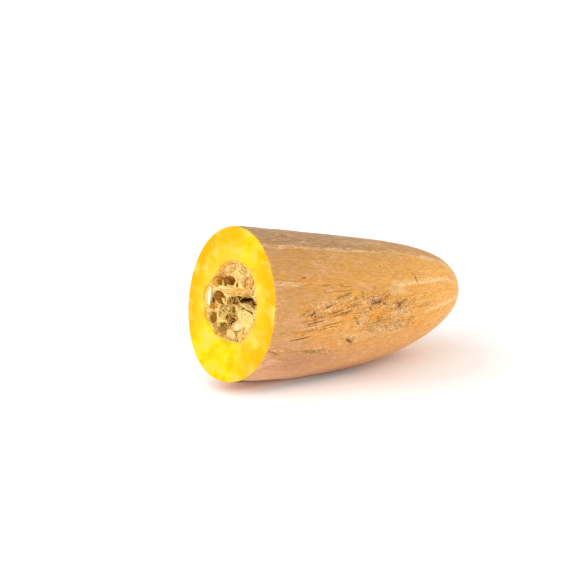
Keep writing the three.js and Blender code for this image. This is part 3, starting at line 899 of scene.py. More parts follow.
rind = {
    "finish": {"Roughness": 0.5, "IOR": 1.45, "Specular IOR Level": 0.3},
    "colours": {
        "tan": "#BD8B50",  # by the cut; darker than the nose, partly its own tone and partly painted shade, as less light falls on that end
        "middle": "#CD9549",
        "nose": "#E6A748",
        "crownCut": "#AE8455",  # the upper side, greyer and darker: partly its own dull bloom, partly painted shade and painted sheen, as little light falls on the top
        "crownNose": "#C99043",
        # paler underneath: partly its own peach belly, partly painted light bounced up from the bright floor
        "bellyCut": "#DCA57A",
        "bellyNose": "#EEB26E",
        "flank": "#A8795A",  # duller and darker low on the side and along the lower edge: its own rose-grey tone, and painted shade near the floor
        "cutEdge": "#C89045",
        "amber": "#D88F2A",
        "russet": "#A8682C",
        "blush": "#D8A683",
        "vein": "#EFD2A2",
        "crease": "#7A4C26",
        # painted contact shadow along the lower edge
        "soil": "#4A2810",
        "buff": "#E8C08A",
        "corkPale": "#F6DC9E",
        "corkDeep": "#704410",
        "corkGrey": "#857334",
        "char": "#5C2E04",
    },
    "sides": {"belly": (110, 255), "crown": (60, 240)},  # mm along, from the cut's colour to the nose's
    "alongMarks": {  # width and length in mm, seed, detail, warp
        "clouds": (17, 36, 23, 4, 0.6),
        "blots": (7, 22, 29, 4, 1.0),
        "curls": (2.6, 7.5, 3, 5, 1.2),
        "threads": (1.2, 12, 11, 4, 0.4),
        "stipple": (1.1, 2.0, 17, 2, 0),
        "washes": (26, 60, 127, 3, 0.6),
        "russets": (4, 15, 37, 4, 1.4),
        "crownCurls": (3.2, 9, 83, 4, 1.6),
        "pimples": (1.2, 1.7, 137, 3, 1.0),
        "wrinkles": (3.0, 4.4, 151, 5, 2.4),
        "specks": (1.3, 1.9, 149, 2, 0.5),
        "creases": (1.3, 16, 67, 2, 0.8),
        "paleStreaks": (1.4, 18, 71, 2, 0.8),
        "wiggle": (4, 14, 89, 2, 0),
        "breaks": (3, 12, 31, 2, 0),
        "secondWiggle": (4, 11, 97, 2, 0),
        "secondBreaks": (3, 9, 43, 2, 0),
        "lineBreaks": (1.5, 2.4, 157, 4, 1.5),
        "brushed": (0.9, 9, 61, 3, 0.4),
        "dots": (0.9, 1.1, 53, 3, 1.0),
        "crumbs": (2.2, 3.0, 109, 4, 2.0),
        "buffPatches": (6, 11, 101, 3, 1.0),
        "amberPatches": (5, 9, 113, 3, 1.0),
        "rough": (1.6, 2.2, 103, 4, 2.0),
        "fineRough": (0.8, 1.0, 119, 2, 0.6),
        "paleDots": (0.8, 1.1, 131, 2, 0.6),
    },
    "slantedMarks": {
        "flakes": (2.2, 4, 41, 4, 1.0),
        "combed": (1, 16, 107, 3, 0.5),
        "deepStreaks": (0.8, 9, 47, 3, 0.6),
    },
    "roughness": 0.62,  # of the marks' edges
    "marks": {"pores": ("squashPoint", 0.9, 0, 2.0)},  # coarser than real pores, so that they show
    "shading": {"low": (-1, -1.2, -2), "high": (1, 1.2, 2), "span": (0.32, 0.68)},  # browner where darker
    "layers": [
        # from the cut to the nose the skin lightens: partly its own tone, partly painted light, as more light
        # falls on the nose
        {"tint": "middle", "marks": "along", "span": (15, 100)},
        {"tint": "nose", "marks": "along", "span": (110, 255)},
        # paler underneath: partly its own peach belly, partly painted light from the bright floor
        {"tint": "belly", "marks": "bellyPart"},
        # greyer on top: partly its own bloom, partly painted shade and painted sheen
        {"tint": "crown", "marks": "crownShadeAndBloomPart"},
        # duller low on the side: partly its own tone, partly painted shade near the floor
        {"tint": "flank", "marks": "flankAndContactShadePart"},
        {"tint": "cutEdge", "marks": "along", "span": (4, 0.5)},
        {"tint": "amber", "marks": "clouds", "span": (0.5, 0.72), "top": 0.5},
        {"tint": "amber", "marks": "blots", "span": (0.46, 0.62), "top": 0.75, "part": "goldPart"},
        {"tint": "blush", "marks": "blots", "span": (0.5, 0.3), "top": 0.35},
        {"tint": "blush", "marks": "washes", "span": (0.46, 0.3), "top": 0.5},
        {"tint": "russet", "marks": "russets", "span": (0.54, 0.74), "top": 0.4},
        {"shade": 0.11, "marks": "curls"},
        {"shade": 0.07, "marks": "threads"},
        {"shade": 0.14, "marks": "threads", "part": "crownShadeAndBloomPart"},
        {"shade": 0.12, "marks": "crownCurls", "part": "crownShadeAndBloomPart"},
        {"shade": 0.06, "marks": "stipple"},
        {"shade": 0.16, "marks": "pimples", "part": "along", "gate": (150, 215)},
        {"shade": 0.13, "marks": "wrinkles", "part": "along", "gate": (110, 190)},
        {"tint": "crease", "marks": "specks", "span": (0.63, 0.74), "top": 0.55,
         "part": "along", "gate": (80, 170)},
        {"tint": "crease", "marks": "creases", "span": (0.68, 0.8), "top": 0.3},
        {"tint": "vein", "marks": "paleStreaks", "span": (0.66, 0.8), "top": 0.35},
    ],
    "cork": {"part": "corkPart", "reach": 0.2, "gate": (0.08, 0.3)},  # shows most where the cork lies thick
    "stain": {"marks": "crumbs", "span": (0.6, 0.8), "reach": 0.36, "gate": (0.04, 0.2)},  # its edge crumbles
    "scuff": {"part": "corkPart", "gate": (0.1, 0.5)},
    "corkLayers": [
        {"like": "cork", "tint": "buff", "marks": "buffPatches", "span": (0.62, 0.76), "top": 0.35},
        {"like": "cork", "tint": "amber", "marks": "amberPatches", "span": (0.64, 0.74), "top": 0.5,
         "reach": 0.14},
        {"like": "stain", "tint": "buff", "part": "buffStain", "top": 0.75},
        {"like": "stain", "tint": "amber", "part": "goldStain", "top": 0.7},
        {"like": "scuff", "shade": 0.26, "marks": "rough"},
        {"like": "scuff", "shade": 0.3, "marks": "fineRough"},
        {"like": "scuff", "shade": 0.16, "marks": "combed"},
        {"like": "stain", "tint": "corkGrey", "part": "oliveStain", "top": 0.75},
        {"like": "cork", "tint": "corkPale", "marks": "paleDots", "span": (0.76, 0.88), "top": 0.6},
        {"like": "cork", "tint": "corkDeep", "marks": "deepStreaks", "span": (0.7, 0.84), "top": 0.55},
        {"like": "cork", "tint": "corkDeep", "marks": "dots", "span": (0.7, 0.84), "top": 0.65},
        {"like": "stain", "tint": "char", "part": "darkStain", "span": (0.64, 0.71), "top": 0.95,
         "reach": 0.24},
        # painted contact shadow along the lower edge
        {"tint": "soil", "marks": "contactShadowPart"},
    ],
    "flakes": {"span": (0.66, 0.8), "reach": 0.22, "gate": (0.08, 0.3)},
    "dryness": (0.48, 0.85),  # roughness of the whole skin, and of flaky cork
    "bumps": {"curls": (0.35, 0.35), "pores": (0.2, 0.15), "flakes": (0.4, 0.25)},
    "line": {  # of the pale and dark lines along the veins
        "swing": 7.0,  # mm from side to side
        "edge": (1.9, 0.5),  # in half widths
        "whole": (0.46, 0.6),
        "joined": 0.2,
        "kinds": [  # mm beside the vein, half width in mm or as painted, strength
            (0.0, "wiggle", "breaks", "paleWidth", 1.0),
            (2.3, "secondWiggle", "secondBreaks", "paleWidth", 0.8),
            (0.0, "wiggle", "breaks", 0.55, 0.8),
        ],
    },
}


def addVeinLines(tree, skin, colours, values):  # thin broken lines that wander along each vein and beside it
    line = rind["line"]
    wave = addNode(tree, "ShaderNodeSeparateXYZ", {"Vector": values["veinWave"]}).outputs
    turn = addNode(tree, "ShaderNodeMath", {0: wave["Y"], 1: wave["X"]}, operation="ARCTAN2").outputs["Value"]
    aside = addShare(tree, turn, part=wave["Z"])  # distance from the middle of the vein, in mm
    lines = []
    for offset, wiggle, breaks, width, strength in line["kinds"]:
        width = values.get(width, width)
        moved = addShare(tree, aside, part=values[wiggle], reach=line["swing"])
        for step, value in (("ADD", offset - line["swing"] / 2), ("ABSOLUTE", 0), ("DIVIDE", width)):
            moved = addNode(tree, "ShaderNodeMath", {0: moved, 1: value}, operation=step).outputs["Value"]
        whole = addShare(tree, values[breaks], line["whole"], part=values["palePart"], reach=line["joined"])
        lines.append(addShare(tree, moved, line["edge"], strength, whole))
    pale = addNode(tree, "ShaderNodeMath", {0: lines[0], 1: lines[1]}, operation="MAXIMUM").outputs["Value"]
    pale = addShare(tree, values["palePart"], (0.2, 0.8), part=pale)
    pale = addShare(tree, values["lineBreaks"], (0.36, 0.52), part=pale)
    pale = addShare(tree, values["brushed"], (0.4, 0.6), 0.9, pale, least=0.3)
    skin = addTint(tree, skin, colours["vein"], pale)
    return addTint(tree, skin, colours["crease"], lines[2], part=values["darkPart"])


def waxyRind():
    material, tree, surface, colours, values = newMaterial(
        "waxy_winter_squash_rind", rind,
        ["crownShadeAndBloomPart", "bellyPart", "flankAndContactShadePart", "goldPart", "contactShadowPart", "corkPart", "goldStain", "palePart",
         "paleWidth", "darkPart"],
        ["squashPoint", "streakPoint", "slantPoint", "veinWave", "stains"])
    for kind, place in (("alongMarks", "streakPoint"), ("slantedMarks", "slantPoint")):
        for name, (width, length, *shape) in rind[kind].items():
            values[name] = addMarks(tree, values[place], (width, width, length), *shape, rind["roughness"])
    values["along"] = addNode(tree, "ShaderNodeSeparateXYZ", {"Vector": values["squashPoint"]}).outputs["X"]
    stains = addNode(tree, "ShaderNodeSeparateXYZ", {"Vector": values["stains"]}).outputs
    values |= {"darkStain": stains["X"], "oliveStain": stains["Y"], "buffStain": stains["Z"]}
    for side, span in rind["sides"].items():
        ends = colours[side + "Cut"], colours[side + "Nose"]
        colours[side] = addTint(tree, *ends, values["along"], span)
    skin = addLayers(tree, colours["tan"], rind, colours, values)
    skin = addVeinLines(tree, skin, colours, values)
    skin = addLayers(tree, skin, rind, colours, values, "corkLayers")
    values["flakes"] = addShare(tree, values["flakes"], part=values["corkPart"], **rind["flakes"])
    smooth, rough = rind["dryness"]
    dry = addNode(tree, "ShaderNodeMapRange", {"Value": values["flakes"], "To Min": smooth, "To Max": rough})
    tree.links.new(dry.outputs["Result"], surface.inputs["Roughness"])
    joinSurface(tree, surface, skin, rind, values)
    return material


# Blossom scar: dry cork, dull and cracked, darkest in the groove

scarFinish = {
    "finish": {"Roughness": 0.9, "IOR": 1.4},
    "colours": {"button": "#C9AE84", "ring": "#8B6B45", "groove": "#3E2A1A"},
    "steps": [(0.0, "button"), (0.35, "ring"), (0.85, "groove")],
    "marks": {"fibre": ("squashPoint", 1.25, 0, 5.0)},
    "bumps": {"fibre": (0.8, 0.4)},
}


def corkyScar():
    material, tree, surface, colours, values = newMaterial(
        "dry_cork_blossom_scar", scarFinish, ["scarPart"], ["squashPoint"])
    tone = addShare(tree, values["scarPart"], part=values["fibre"], reach=0.7)
    tone = addNode(tree, "ShaderNodeMapRange", {"Value": tone, "From Min": 1.2, "From Max": 2.4})
    body = addNode(tree, "ShaderNodeValToRGB", {"Fac": tone.outputs["Result"]},
                   stops=[(at, colours[name]) for at, name in scarFinish["steps"]]).outputs["Color"]
    joinSurface(tree, surface, body, scarFinish, values)
    return material


# Flesh: raw, knife-cut and moist; it glows a little, as light passes into it

flesh = {
    "finish": {
        "Roughness": 0.45, "IOR": 1.38, "Specular IOR Level": 0.04, "Subsurface Weight": 0.25,
        "Subsurface Radius": (1.0, 0.6, 0.1), "Subsurface Scale": 4 * mm},
    "colours": {
        "inner": "#E6C43E",
        "middle": "#E6BF14",
        "outer": "#E4B000",
        "rindLine": "#DDB254",
        "pale": "#EACC5C",
        "lemon": "#E8D400",
        "gold": "#E0AA00",
        "lip": "#DB9E36",
    },
    "steps": [(0.3, "lip"), (0.36, "inner"), (0.65, "middle"), (1.0, "outer")],
    "marks": {  # where they are measured, size in mm, seed, detail, warp, roughness of their edges
        "fibres": ("radialPoint", (1.8, 1.8, 7.0), 0, 3.0, 0, 0.55),
        "patches": ("squashPoint", (22.22, 31.25, 22.22), 0, 2.0, 0, 0.55),
        "clouds": ("squashPoint", (16.67, 21.74, 15.15), 0, 1.5, 0, 0.55),
        "grains": ("squashPoint", (4.545, 6.25, 4.545), 0, 2.0, 0, 0.55),
    },
    "layers": [
        {"tint": "gold", "marks": "fleshShare", "span": (0.86, 0.97), "top": 0.5},
        {"tint": "lemon", "marks": "patches", "span": (0.714, 1.429), "top": 0.95,
         "part": "lemonPart", "reach": 1.429},
        {"tint": "gold", "marks": "clouds", "span": (0.5, 0.3), "top": 0.58},
        {"tint": "pale", "marks": "clouds", "span": (0.46, 0.74), "top": 0.9},
        {"tint": "gold", "marks": "fibres", "span": (0.44, 0.28), "top": 0.25},
        {"tint": "pale", "marks": "grains", "span": (0.5, 0.78), "top": 0.3},
        {"tint": "gold", "marks": "grains", "span": (0.48, 0.26), "top": 0.2},
        {"tint": "rindLine", "marks": "fleshShare", "span": (0.965, 0.992), "top": 0.55},
    ],
    "bumps": {"fibres": (0.35, 0.35)},
}


def cutFlesh():
    material, tree, surface, colours, values = newMaterial(
        "moist_cut_squash_flesh", flesh, ["fleshShare", "lemonPart"], ["radialPoint", "squashPoint"])
    wobble = addShare(tree, values["fleshShare"], part=values["clouds"], reach=0.6)
    body = addNode(tree, "ShaderNodeValToRGB", {"Fac": wobble},
                   stops=[(at, colours[name]) for at, name in flesh["steps"]]).outputs["Color"]
    body = addLayers(tree, body, flesh, colours, values)
    joinSurface(tree, surface, body, flesh, values)
    return material


# Seeds: flat ovals with a thin raised rim; only the first lies a little off its solid, further out

seed = {
    "halfLength": 9.8,
    "halfWidth": 6.0,
    "halfThickness": 2.5,
    "pinch": 0.2,  # how much the tip narrows
    "profile": [  # share of the outline, share of the thickness, from the middle of a face to the edge
        (0.0, 1.0), (0.16, 0.99), (0.32, 0.96), (0.46, 0.9), (0.58, 0.8), (0.68, 0.66), (0.76, 0.5),
        (0.81, 0.38), (0.85, 0.31), (0.89, 0.34), (0.93, 0.38), (0.97, 0.33), (0.995, 0.16), (1.0, 0.0),
    ],
    "wrinkles": (2.0, 5.0, 1.3),
    "columns": 72,
}

seeds = [  # across, up, depth, roll, lean, sway; a brown film, its drift lengthwise, a pink film, whiteness
    (40.6, -0.4, 3.6, 97, 8, -40, 0, 0, 0, 1),
    (25.7, 1.0, 6.5, 6, 8, -10, 1, 0.2, 0.4, 0),
    (30.1, -18.6, 3.9, 26, -8, 9, 0.6, -0.35, 0.2, 0),
    (28.9, 15.5, 4.7, -3, 10, -26, 0.5, -0.7, 0.9, 0),
    (10.4, 19.6, 6.8, 2, 6, -16, 1, 0, 0.1, 0),
    (14.0, 32.4, 5.8, 132, 14, 63, 0.25, 0, 0.4, 0),
    (-17.9, 25.4, 5.3, -23, -7, 7, 0.4, 0.3, 0.5, 0),
    (-3.4, -28.2, 4.2, -16, -11, -22, 0.28, 0.1, 0.3, 0.05),
    (-10.9, -17.4, 5.2, -18, 3, 26, 0.24, 0.1, 0.2, 0.2),
    (-30.0, -6.5, 12.5, 78, 66, 8, 0.1, 0, 0.1, 0),
    (13.0, -22.5, 11.5, 14, -44, 0, 0.8, 0, 0.4, 0),
    (14.0, -7.5, 13.5, -12, 60, 10, 0.5, 0, 0.3, 0),
    (-8.0, 29.0, 17.5, 32, -62, 0, 0.2, 0, 0.3, 0),
    (-30.0, 14.5, 19.0, 82, 74, 0, 0.7, 0, 0.2, 0),
    (-11.0, -8.0, 18.5, 28, 66, -8, 0.3, 0, 0.3, 0),
    (12.5, 8.0, 23.0, -8, 78, 12, 0.8, 0, 0.3, 0),
]


def turnMatrix(roll, sway, lean):  # turns about X, then Y, then Z of the thing itself, in degrees
    angles = np.radians([roll, sway, lean])
    (a, b), (c, d), (e, f) = np.stack([np.cos(angles), np.sin(angles)], -1)
    aboutX = np.array([(1, 0, 0), (0, a, -b), (0, b, a)])
    aboutY = np.array([(c, 0, d), (0, 1, 0), (-d, 0, c)])
    aboutZ = np.array([(e, -f, 0), (f, e, 0), (0, 0, 1)])
    return aboutX @ aboutY @ aboutZ


def insidePoint(across, up, depth):  # a place behind the cut, in the squash's own frame
    across, up, depth = np.broadcast_arrays(across, up, depth)
    middle, upward, _ = axisFrame(depth.astype(float))
    point = middle + upward * up[..., None]
    point[..., 1] = across
    return point


def addSeeds():
    material = seedCoat()
    columns = seed["columns"]
    angle = 2 * math.pi * np.arange(columns) / columns
    share, height = np.array(seed["profile"][1:]).T
    share = np.concatenate([share, share[-2::-1]])[:, None]
    height = np.concatenate([height, -height[-2::-1]])[:, None]
    tipward = np.cos(angle)
    pinch = 1 - seed["pinch"] * np.maximum(tipward, 0) ** 2 - 0.06 * tipward
    length = seed["halfLength"] * tipward * share
    width = seed["halfWidth"] * np.sin(angle) * pinch * share
    thick = -seed["halfThickness"] * height * np.ones_like(angle)
    poles = np.array([(-0.97, 0, 0), (0.97, 0, 0)]) * seed["halfThickness"]
    rim = np.concatenate([(share * np.ones_like(angle)).ravel(), [0, 0]])
    for index, (across, up, depth, roll, lean, sway, brown, drift, pink, white) in enumerate(seeds):
        flat = np.stack([thick, length, width], axis=-1)
        wrinkle = softNoise(flat / seed["wrinkles"] + index * 3.1, 61) * (share < 0.8)
        flat[..., 0] *= 1 + (0.07 * wrinkle - 0.04)
        local = np.concatenate([flat.reshape(-1, 3), poles])
        points = local @ turnMatrix(roll, sway, lean).T + insidePoint(across, up, depth)
        values = {
            "seedPoint": local + index * 40.0,
            "rimPart": smoothStep(0.8, 0.88, rim) * (0.25 if brown == 1 else 1),  # faint under a whole film
            "brownPart": np.clip(brown + drift * local[:, 1] / seed["halfLength"], 0, 1),
            "pinkPart": np.full(len(local), pink),
            "whitePart": np.full(len(local), white),
        }
        name = "seed_%02d" % (index + 1)
        faces = closedFaces(len(share), columns, flipped=True)
        piece = addMesh(name + "_coat", toRow(points), faces, [material], values)
        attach(piece, "root")
        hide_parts(name)
    print("seeds:", len(seeds))


# Seed coats: parchment over the kernel, satin when wet; threads of dried film stain some brown

coat = {
    "finish": {
        "Roughness": 0.42, "IOR": 1.45, "Specular IOR Level": 0.04, "Subsurface Weight": 0.15,
        "Subsurface Radius": (1.0, 0.6, 0.3), "Subsurface Scale": 1.5 * mm},
    "colours": {
        "parchment": "#F0D28C",
        "white": "#FFF4D2",
        "rim": "#E8CA86",
        "brownFilm": "#A0660A",
        "darkFilm": "#4E2E00",
        "pinkFilm": "#D29038",
    },
    "marks": {
        "streaks": ("seedPoint", (0.9, 6.0, 0.9), 0, 4.0, 0, 0.6, math.radians(28)),
        "blots": ("seedPoint", 3.333),
    },
    "film": {"span": (0.79, 1.11), "reach": 1.0},  # whole where it is thick, in threads where it is thin
    "mottled": (0.48, 0.66),
    "shed": 0.45,  # share of the brown film that the rim sheds
    "bumps": {"streaks": (0.4, 0.2)},
    "layers": [
        {"tint": "rim", "marks": "rimPart"},
        {"tint": "white", "marks": "whitePart"},
        {"tint": "pinkFilm", "marks": "blots", "span": (0.65, 1.25), "part": "pinkPart", "reach": 1.0},
    ],
}


def seedCoat():
    material, tree, surface, colours, values = newMaterial(
        "parchment_seed_coat", coat, ["rimPart", "brownPart", "pinkPart", "whitePart"], ["seedPoint"])
    streaks = values["streaks"]
    skin = addLayers(tree, colours["parchment"], coat, colours, values)
    inner = addShare(tree, 1.0, part=values["rimPart"], reach=-coat["shed"])
    film = addShare(tree, streaks, part=values["brownPart"], **coat["film"])
    low, high = coat["mottled"]
    mottled = addNode(tree, "ShaderNodeMapRange", {"Value": streaks, "From Min": low, "From Max": high})
    brown = addTint(tree, colours["brownFilm"], colours["darkFilm"], mottled.outputs["Result"])
    skin = addTint(tree, skin, brown, film, part=inner)
    joinSurface(tree, surface, skin, coat, values)
    return material


# Pulp: a torn, stringy bed round the hollow, then the loose fibres drawn over it

pulp = {
    "columns": 240,
    "rows": 96,
    "backRows": 16,
    "recess": 2.9,
    "inset": 0.35,
    "rimDepth": 1.9,
    "hollow": {
        "across": -13.5, "up": 5.3, "slope": -0.02, "halfWidth": 26.0, "halfHeight": 7.2, "depth": 21.0,
        "ropes": 2.4},
    "lean": (1.35, -0.26),  # hollows and stains run this far across and up for each mm inwards
    "frontSeeds": 9,  # the ones that the cut shows
    "back": (1.318, 4.5),  # turn at the deep end of the bed's back, and mm behind the cut at its near end
    "strandPoints": 18,
    "curlPoints": 14,
}

pits = [  # across, up, half width, half height, turn, depth: where pulp and seeds have pulled away
    (26, 15.5, 7, 3.8, -10, 5), (12, 20.5, 10.5, 4.0, 4, 8), (27, 2.6, 8, 5, 0, 3),
    (15, 0.5, 6.5, 2.6, 20, 7), (11, -10, 14, 7.5, 10, 4.5), (-2, -16.5, 6.5, 4.5, 30, 9),
    (11.5, -24.5, 9.5, 4.5, -8, 6),
    (32.8, -18.6, 6, 7, 0, 2.5), (5.4, 34.6, 2.4, 1.6, 10, 8), (-31.5, -0.7, 1.8, 3.2, 0, 6),
    (37.5, -4, 3, 3, 0, 5), (-13, -30.5, 5, 1.4, 20, 1.5), (-8, 2.6, 2.0, 1.4, 0, 9), (-20, 25, 5, 5, 0, 2),
    (-2, 5, 10, 2.4, -9, 7), (-30, 21, 1.6, 5, 10, 4),
]

lumps = [  # across, up, half width, half height, turn, height: smooth swellings
    (-22, -10, 11, 10, 0, 2.2), (-12, -18, 8, 5, 20, 1.4), (-8, 29, 12, 9, 0, 1.8), (14, 33, 9, 6, 10, 1.6),
    (-6, -29, 7, 4, 0, 1.2), (-15, -4, 4, 5, 0, 2.0), (2, 13, 22, 4, -3, 1.5), (16, -31, 12, 3, -8, 1.0),
    (17, -9.5, 4, 3, 0, 3.0), (-34, -3.5, 4, 2.0, 0, 1.6),
]

# brown: partly the pulp's own dried film, partly painted shade in its pits and hollow
pulpTints = [  # across, up, half width, half height, turn, brown, pink, gold
    (25, 15, 7, 4, -8, 1.0, 0.2, 0), (36, 17, 7, 6, 0, 0.2, 1.0, 0.1), (12, 20.5, 11, 4.6, 4, 1.0, 0, 0),
    (27, 3, 10, 6, 0, 0.9, 0.3, 0), (15, 0.5, 7, 3.4, 20, 1.0, 0, 0), (5, -8, 17, 9.5, 12, 1.0, 0, 0.9),
    (-2, -16.5, 8.5, 6.5, 30, 1.0, 0, 1.0), (11.5, -24.5, 11, 5.5, -8, 0.7, 0.4, 0),
    (33, -18, 8, 9, 0, 0.5, 0, 0.2), (36, -8.5, 5, 3.5, 0, 0.55, 0, 1.0), (37.5, -3, 4, 3.4, 0, 1.0, 0, 0.5),
    (2, 13, 24, 5, -3, 0.5, 0.1, 1.0), (-22, 13, 8, 4, 0, 0.5, 0.3, 1.0), (28, 27, 12, 8, 30, 0, 0.8, 0),
    (18, -32, 14, 5, -8, 0, 0.9, 0), (-20, 24, 6, 6, 0, 0.25, 0.9, 0.1), (-23, -20, 2, 5, 10, 0.4, 0, 1.0),
    (-13, -30.5, 7, 2.6, 20, 0.8, 0, 0.2), (-31.5, -0.7, 2.6, 4, 0, 0.85, 0, 0.2),
    (-2, 5, 14, 4, -9, 1.0, 0, 0), (-27, 8, 10, 6, 0, 1.0, 0, 0), (-22, 16, 7, 7, 0, 0.35, 0.3, 0.5),
    (-20, -10, 12, 10, 0, 0, 0, 0.15), (-6, 28, 14, 10, 0, 0.4, 0.1, 0.1), (5, 13, 18, 4, -5, 0.3, 0, 0.5),
]

strandSets = [  # count, ends (across, up, spread of each), depth, wave, radius, tone, varied, may hide a seed
    (56, (20, 11.5, 6, 3), (-16, 16, 5, 3), (2.2, 5.2), 1.2, 0.44, (0.1, 0.15, 0.7), 0.5, 0.12),
    (12, (30, 12.5, 3, 0.8), (2, 15.5, 5, 1.0), (2.0, 3.4), 0.7, 0.5, (0, 0, 0.1), 0.15, 0.7),
    (12, (-10, 13.5, 3, 2), (-24, 24, 3, 2), (2.2, 4.2), 0.7, 0.45, (0.1, 0.1, 0.3), 0.15, 0.12),
    (8, (-30, 15, 2, 2), (-22, 24, 3, 2), (2.0, 3.6), 0.5, 0.4, (0.0, 0.3, 0.3), 0.15, 0.8),
    (4, (23, 20.5, 0.8, 0.5), (16, 12.0, 0.8, 0.5), (1.8, 3.0), 0.4, 0.3, (0, 0.1, 0.2), 0.15, 1.1),
    (9, (17, 23, 5, 0.8), (9, 17, 5, 0.8), (4.6, 6.4), 0.3, 0.24, (0.55, 0, 0.5), 0.15, 1.1),
    (6, (38, 20, 3, 0.8), (30, 14, 3, 0.8), (2.2, 3.4), 0.3, 0.26, (0.4, 0.8, 0.4), 0.15, 1.1),
    (9, (17, 3.4, 5, 0.8), (12.5, -2.4, 5, 0.8), (2.2, 3.6), 0.4, 0.4, (0, 0, 0.05), 0.15, 1.1),
    (10, (0, 9, 9, 1.0), (-3, 2, 9, 1.0), (4.0, 8.0), 0.6, 0.3, (0.4, 0, 0.2), 0.15, 0.12),
    (6, (-24, 12, 4, 1.0), (-26, 3, 4, 1.0), (7.0, 14.0), 0.6, 0.26, (0.8, 0, 0.2), 0.15, 0.12),
    (9, (-14, 2.5, 2.0, 1.2), (-20, -10, 3, 2), (1.6, 3.2), 0.6, 0.62, (0, 0, 0.05), 0.15, 0.12),
    (12, (-36, -2.6, 1, 0.8), (-17, -1.5, 4, 1.2), (1.8, 3.2), 0.5, 0.5, (0, 0.05, 0.05), 0.15, 0.12),
    (8, (21, -3, 5, 3), (-7, -12, 5, 4), (2.0, 4.4), 2.2, 0.32, (0.0, 0, 0.35), 0.35, 0.12),
    (7, (14, -16, 7, 3), (1, -1, 7, 2), (2.0, 4.4), 2.2, 0.32, (0.0, 0, 0.35), 0.35, 0.12),
    (16, (23, -9, 2, 2), (20, -25, 3, 2), (2.0, 3.6), 0.7, 0.5, (0, 0.1, 0.2), 0.15, 0.3),
    (12, (22, -21, 5, 2), (2, -27, 5, 3), (3.0, 6.0), 0.9, 0.32, (0.5, 0.4, 0.2), 0.15, 0.12),
    (16, (-7, 3.6, 3, 1.2), (-35, 0.4, 3, 1.6), (3.0, 6.5), 0.9, 0.46, (0.05, 0.05, 0.15), 0.3, 0.12),
    (7, (-16, 8, 4, 1.5), (-32, 0, 3, 2.0), (6.0, 10.0), 0.9, 0.34, (0.35, 0.1, 0.3), 0.3, 0.12),
    (11, (12, 24.5, 7, 0.8), (3, 17, 7, 0.8), (3.2, 4.2), 0.4, 0.24, (0.9, 0, 0.3), 0.15, 1.1),
    (7, (-1, 25, 3, 1.5), (3, 16, 3, 1.2), (2.2, 3.6), 0.6, 0.42, (0, 0, 0.2), 0.15, 1.1),
    (8, (16, 16.0, 3, 0.9), (-6, 17.5, 3, 0.9), (2.2, 3.4), 0.8, 0.42, (0.05, 0.1, 0.4), 0.15, 1.1),
    (7, (27, 6.5, 5, 1.0), (18, -2.5, 5, 1.0), (3.2, 4.2), 0.4, 0.22, (0.7, 0, 0.5), 0.15, 1.1),
    (10, (38, -6, 1.5, 2), (29, -10, 3, 2), (1.8, 3.6), 0.7, 0.4, (0.3, 0, 1.0), 0.15, 0.12),
]

curls = [  # count, area (across, up, spread), length, radius, stand, bend, tone, may hide a seed, depth
    (170, (-6, 29, 12, 9), (4, 9), 0.36, 2.2, 2.6, (0, 0.0, 0.0), 0.12, None),
    (50, (4, 33, 6, 4), (4, 8), 0.32, 1.4, 2.2, (0, 0.15, 0.1), 0.12, None),
    (44, (6, -8, 16, 10), (3, 9), 0.22, 3.4, 4.6, (0, 0, 0.3), 0.12, None),
    (50, (6, -9, 15, 9), (2, 7), 0.28, 2.0, 4.2, (0.35, 0, 0.8), 0.12, None),
    (40, (-7, -23, 9, 7), (3, 8), 0.3, 1.6, 3.4, (0, 0, 0.1), 0.45, None),
    (26, (-6, -22, 12, 8), (3, 7), 0.26, 0, 3.0, (0.1, 0, 0.5), 1.1, (0.8, 2.6)),
    (18, (12, 32, 7, 5), (3, 7), 0.2, 0, 2.6, (0, 0.1, 0.1), 1.1, (1.6, 3.6)),
    (24, (17, -9, 5, 4), (3, 6), 0.45, 1.2, 3.0, (0, 0.1, 0.1), 0.12, None),
    (60, (-20, -8, 11, 10), (5, 11), 0.34, 0.6, 1.6, (0, 0, 0.05), 0.12, None),
    (60, (14, -29, 12, 4), (4, 9), 0.28, 0.9, 2.0, (0.3, 0.8, 0.1), 0.12, None),
    (60, (29, 25, 8, 5), (5, 11), 0.28, 0.7, 1.2, (0.1, 0.9, 0.1), 0.12, None),
    (26, (36, -8, 4, 4), (3, 6), 0.34, 1.2, 2.4, (0.4, 0, 1.0), 0.12, None),
    (50, (-22, 18, 7, 8), (5, 10), 0.3, 1.0, 1.8, (0.2, 0.4, 0.3), 0.12, None),
]

fringe = {"count": 130, "length": (3, 9), "radius": 0.3, "points": 8, "tone": (0.0, 0.1, 0.4)}


def spotShare(across, up, spot, power=4):  # 1 inside a turned oval, fading to 0 outside it
    place, high, halfWidth, halfHeight, turn = spot[:5]
    a, u = across - place, up - high
    cosine, sine = math.cos(math.radians(turn)), math.sin(math.radians(turn))
    x, y = (a * cosine + u * sine) / halfWidth, (u * cosine - a * sine) / halfHeight
    return np.exp(-(x * x + y * y) ** (power / 2))


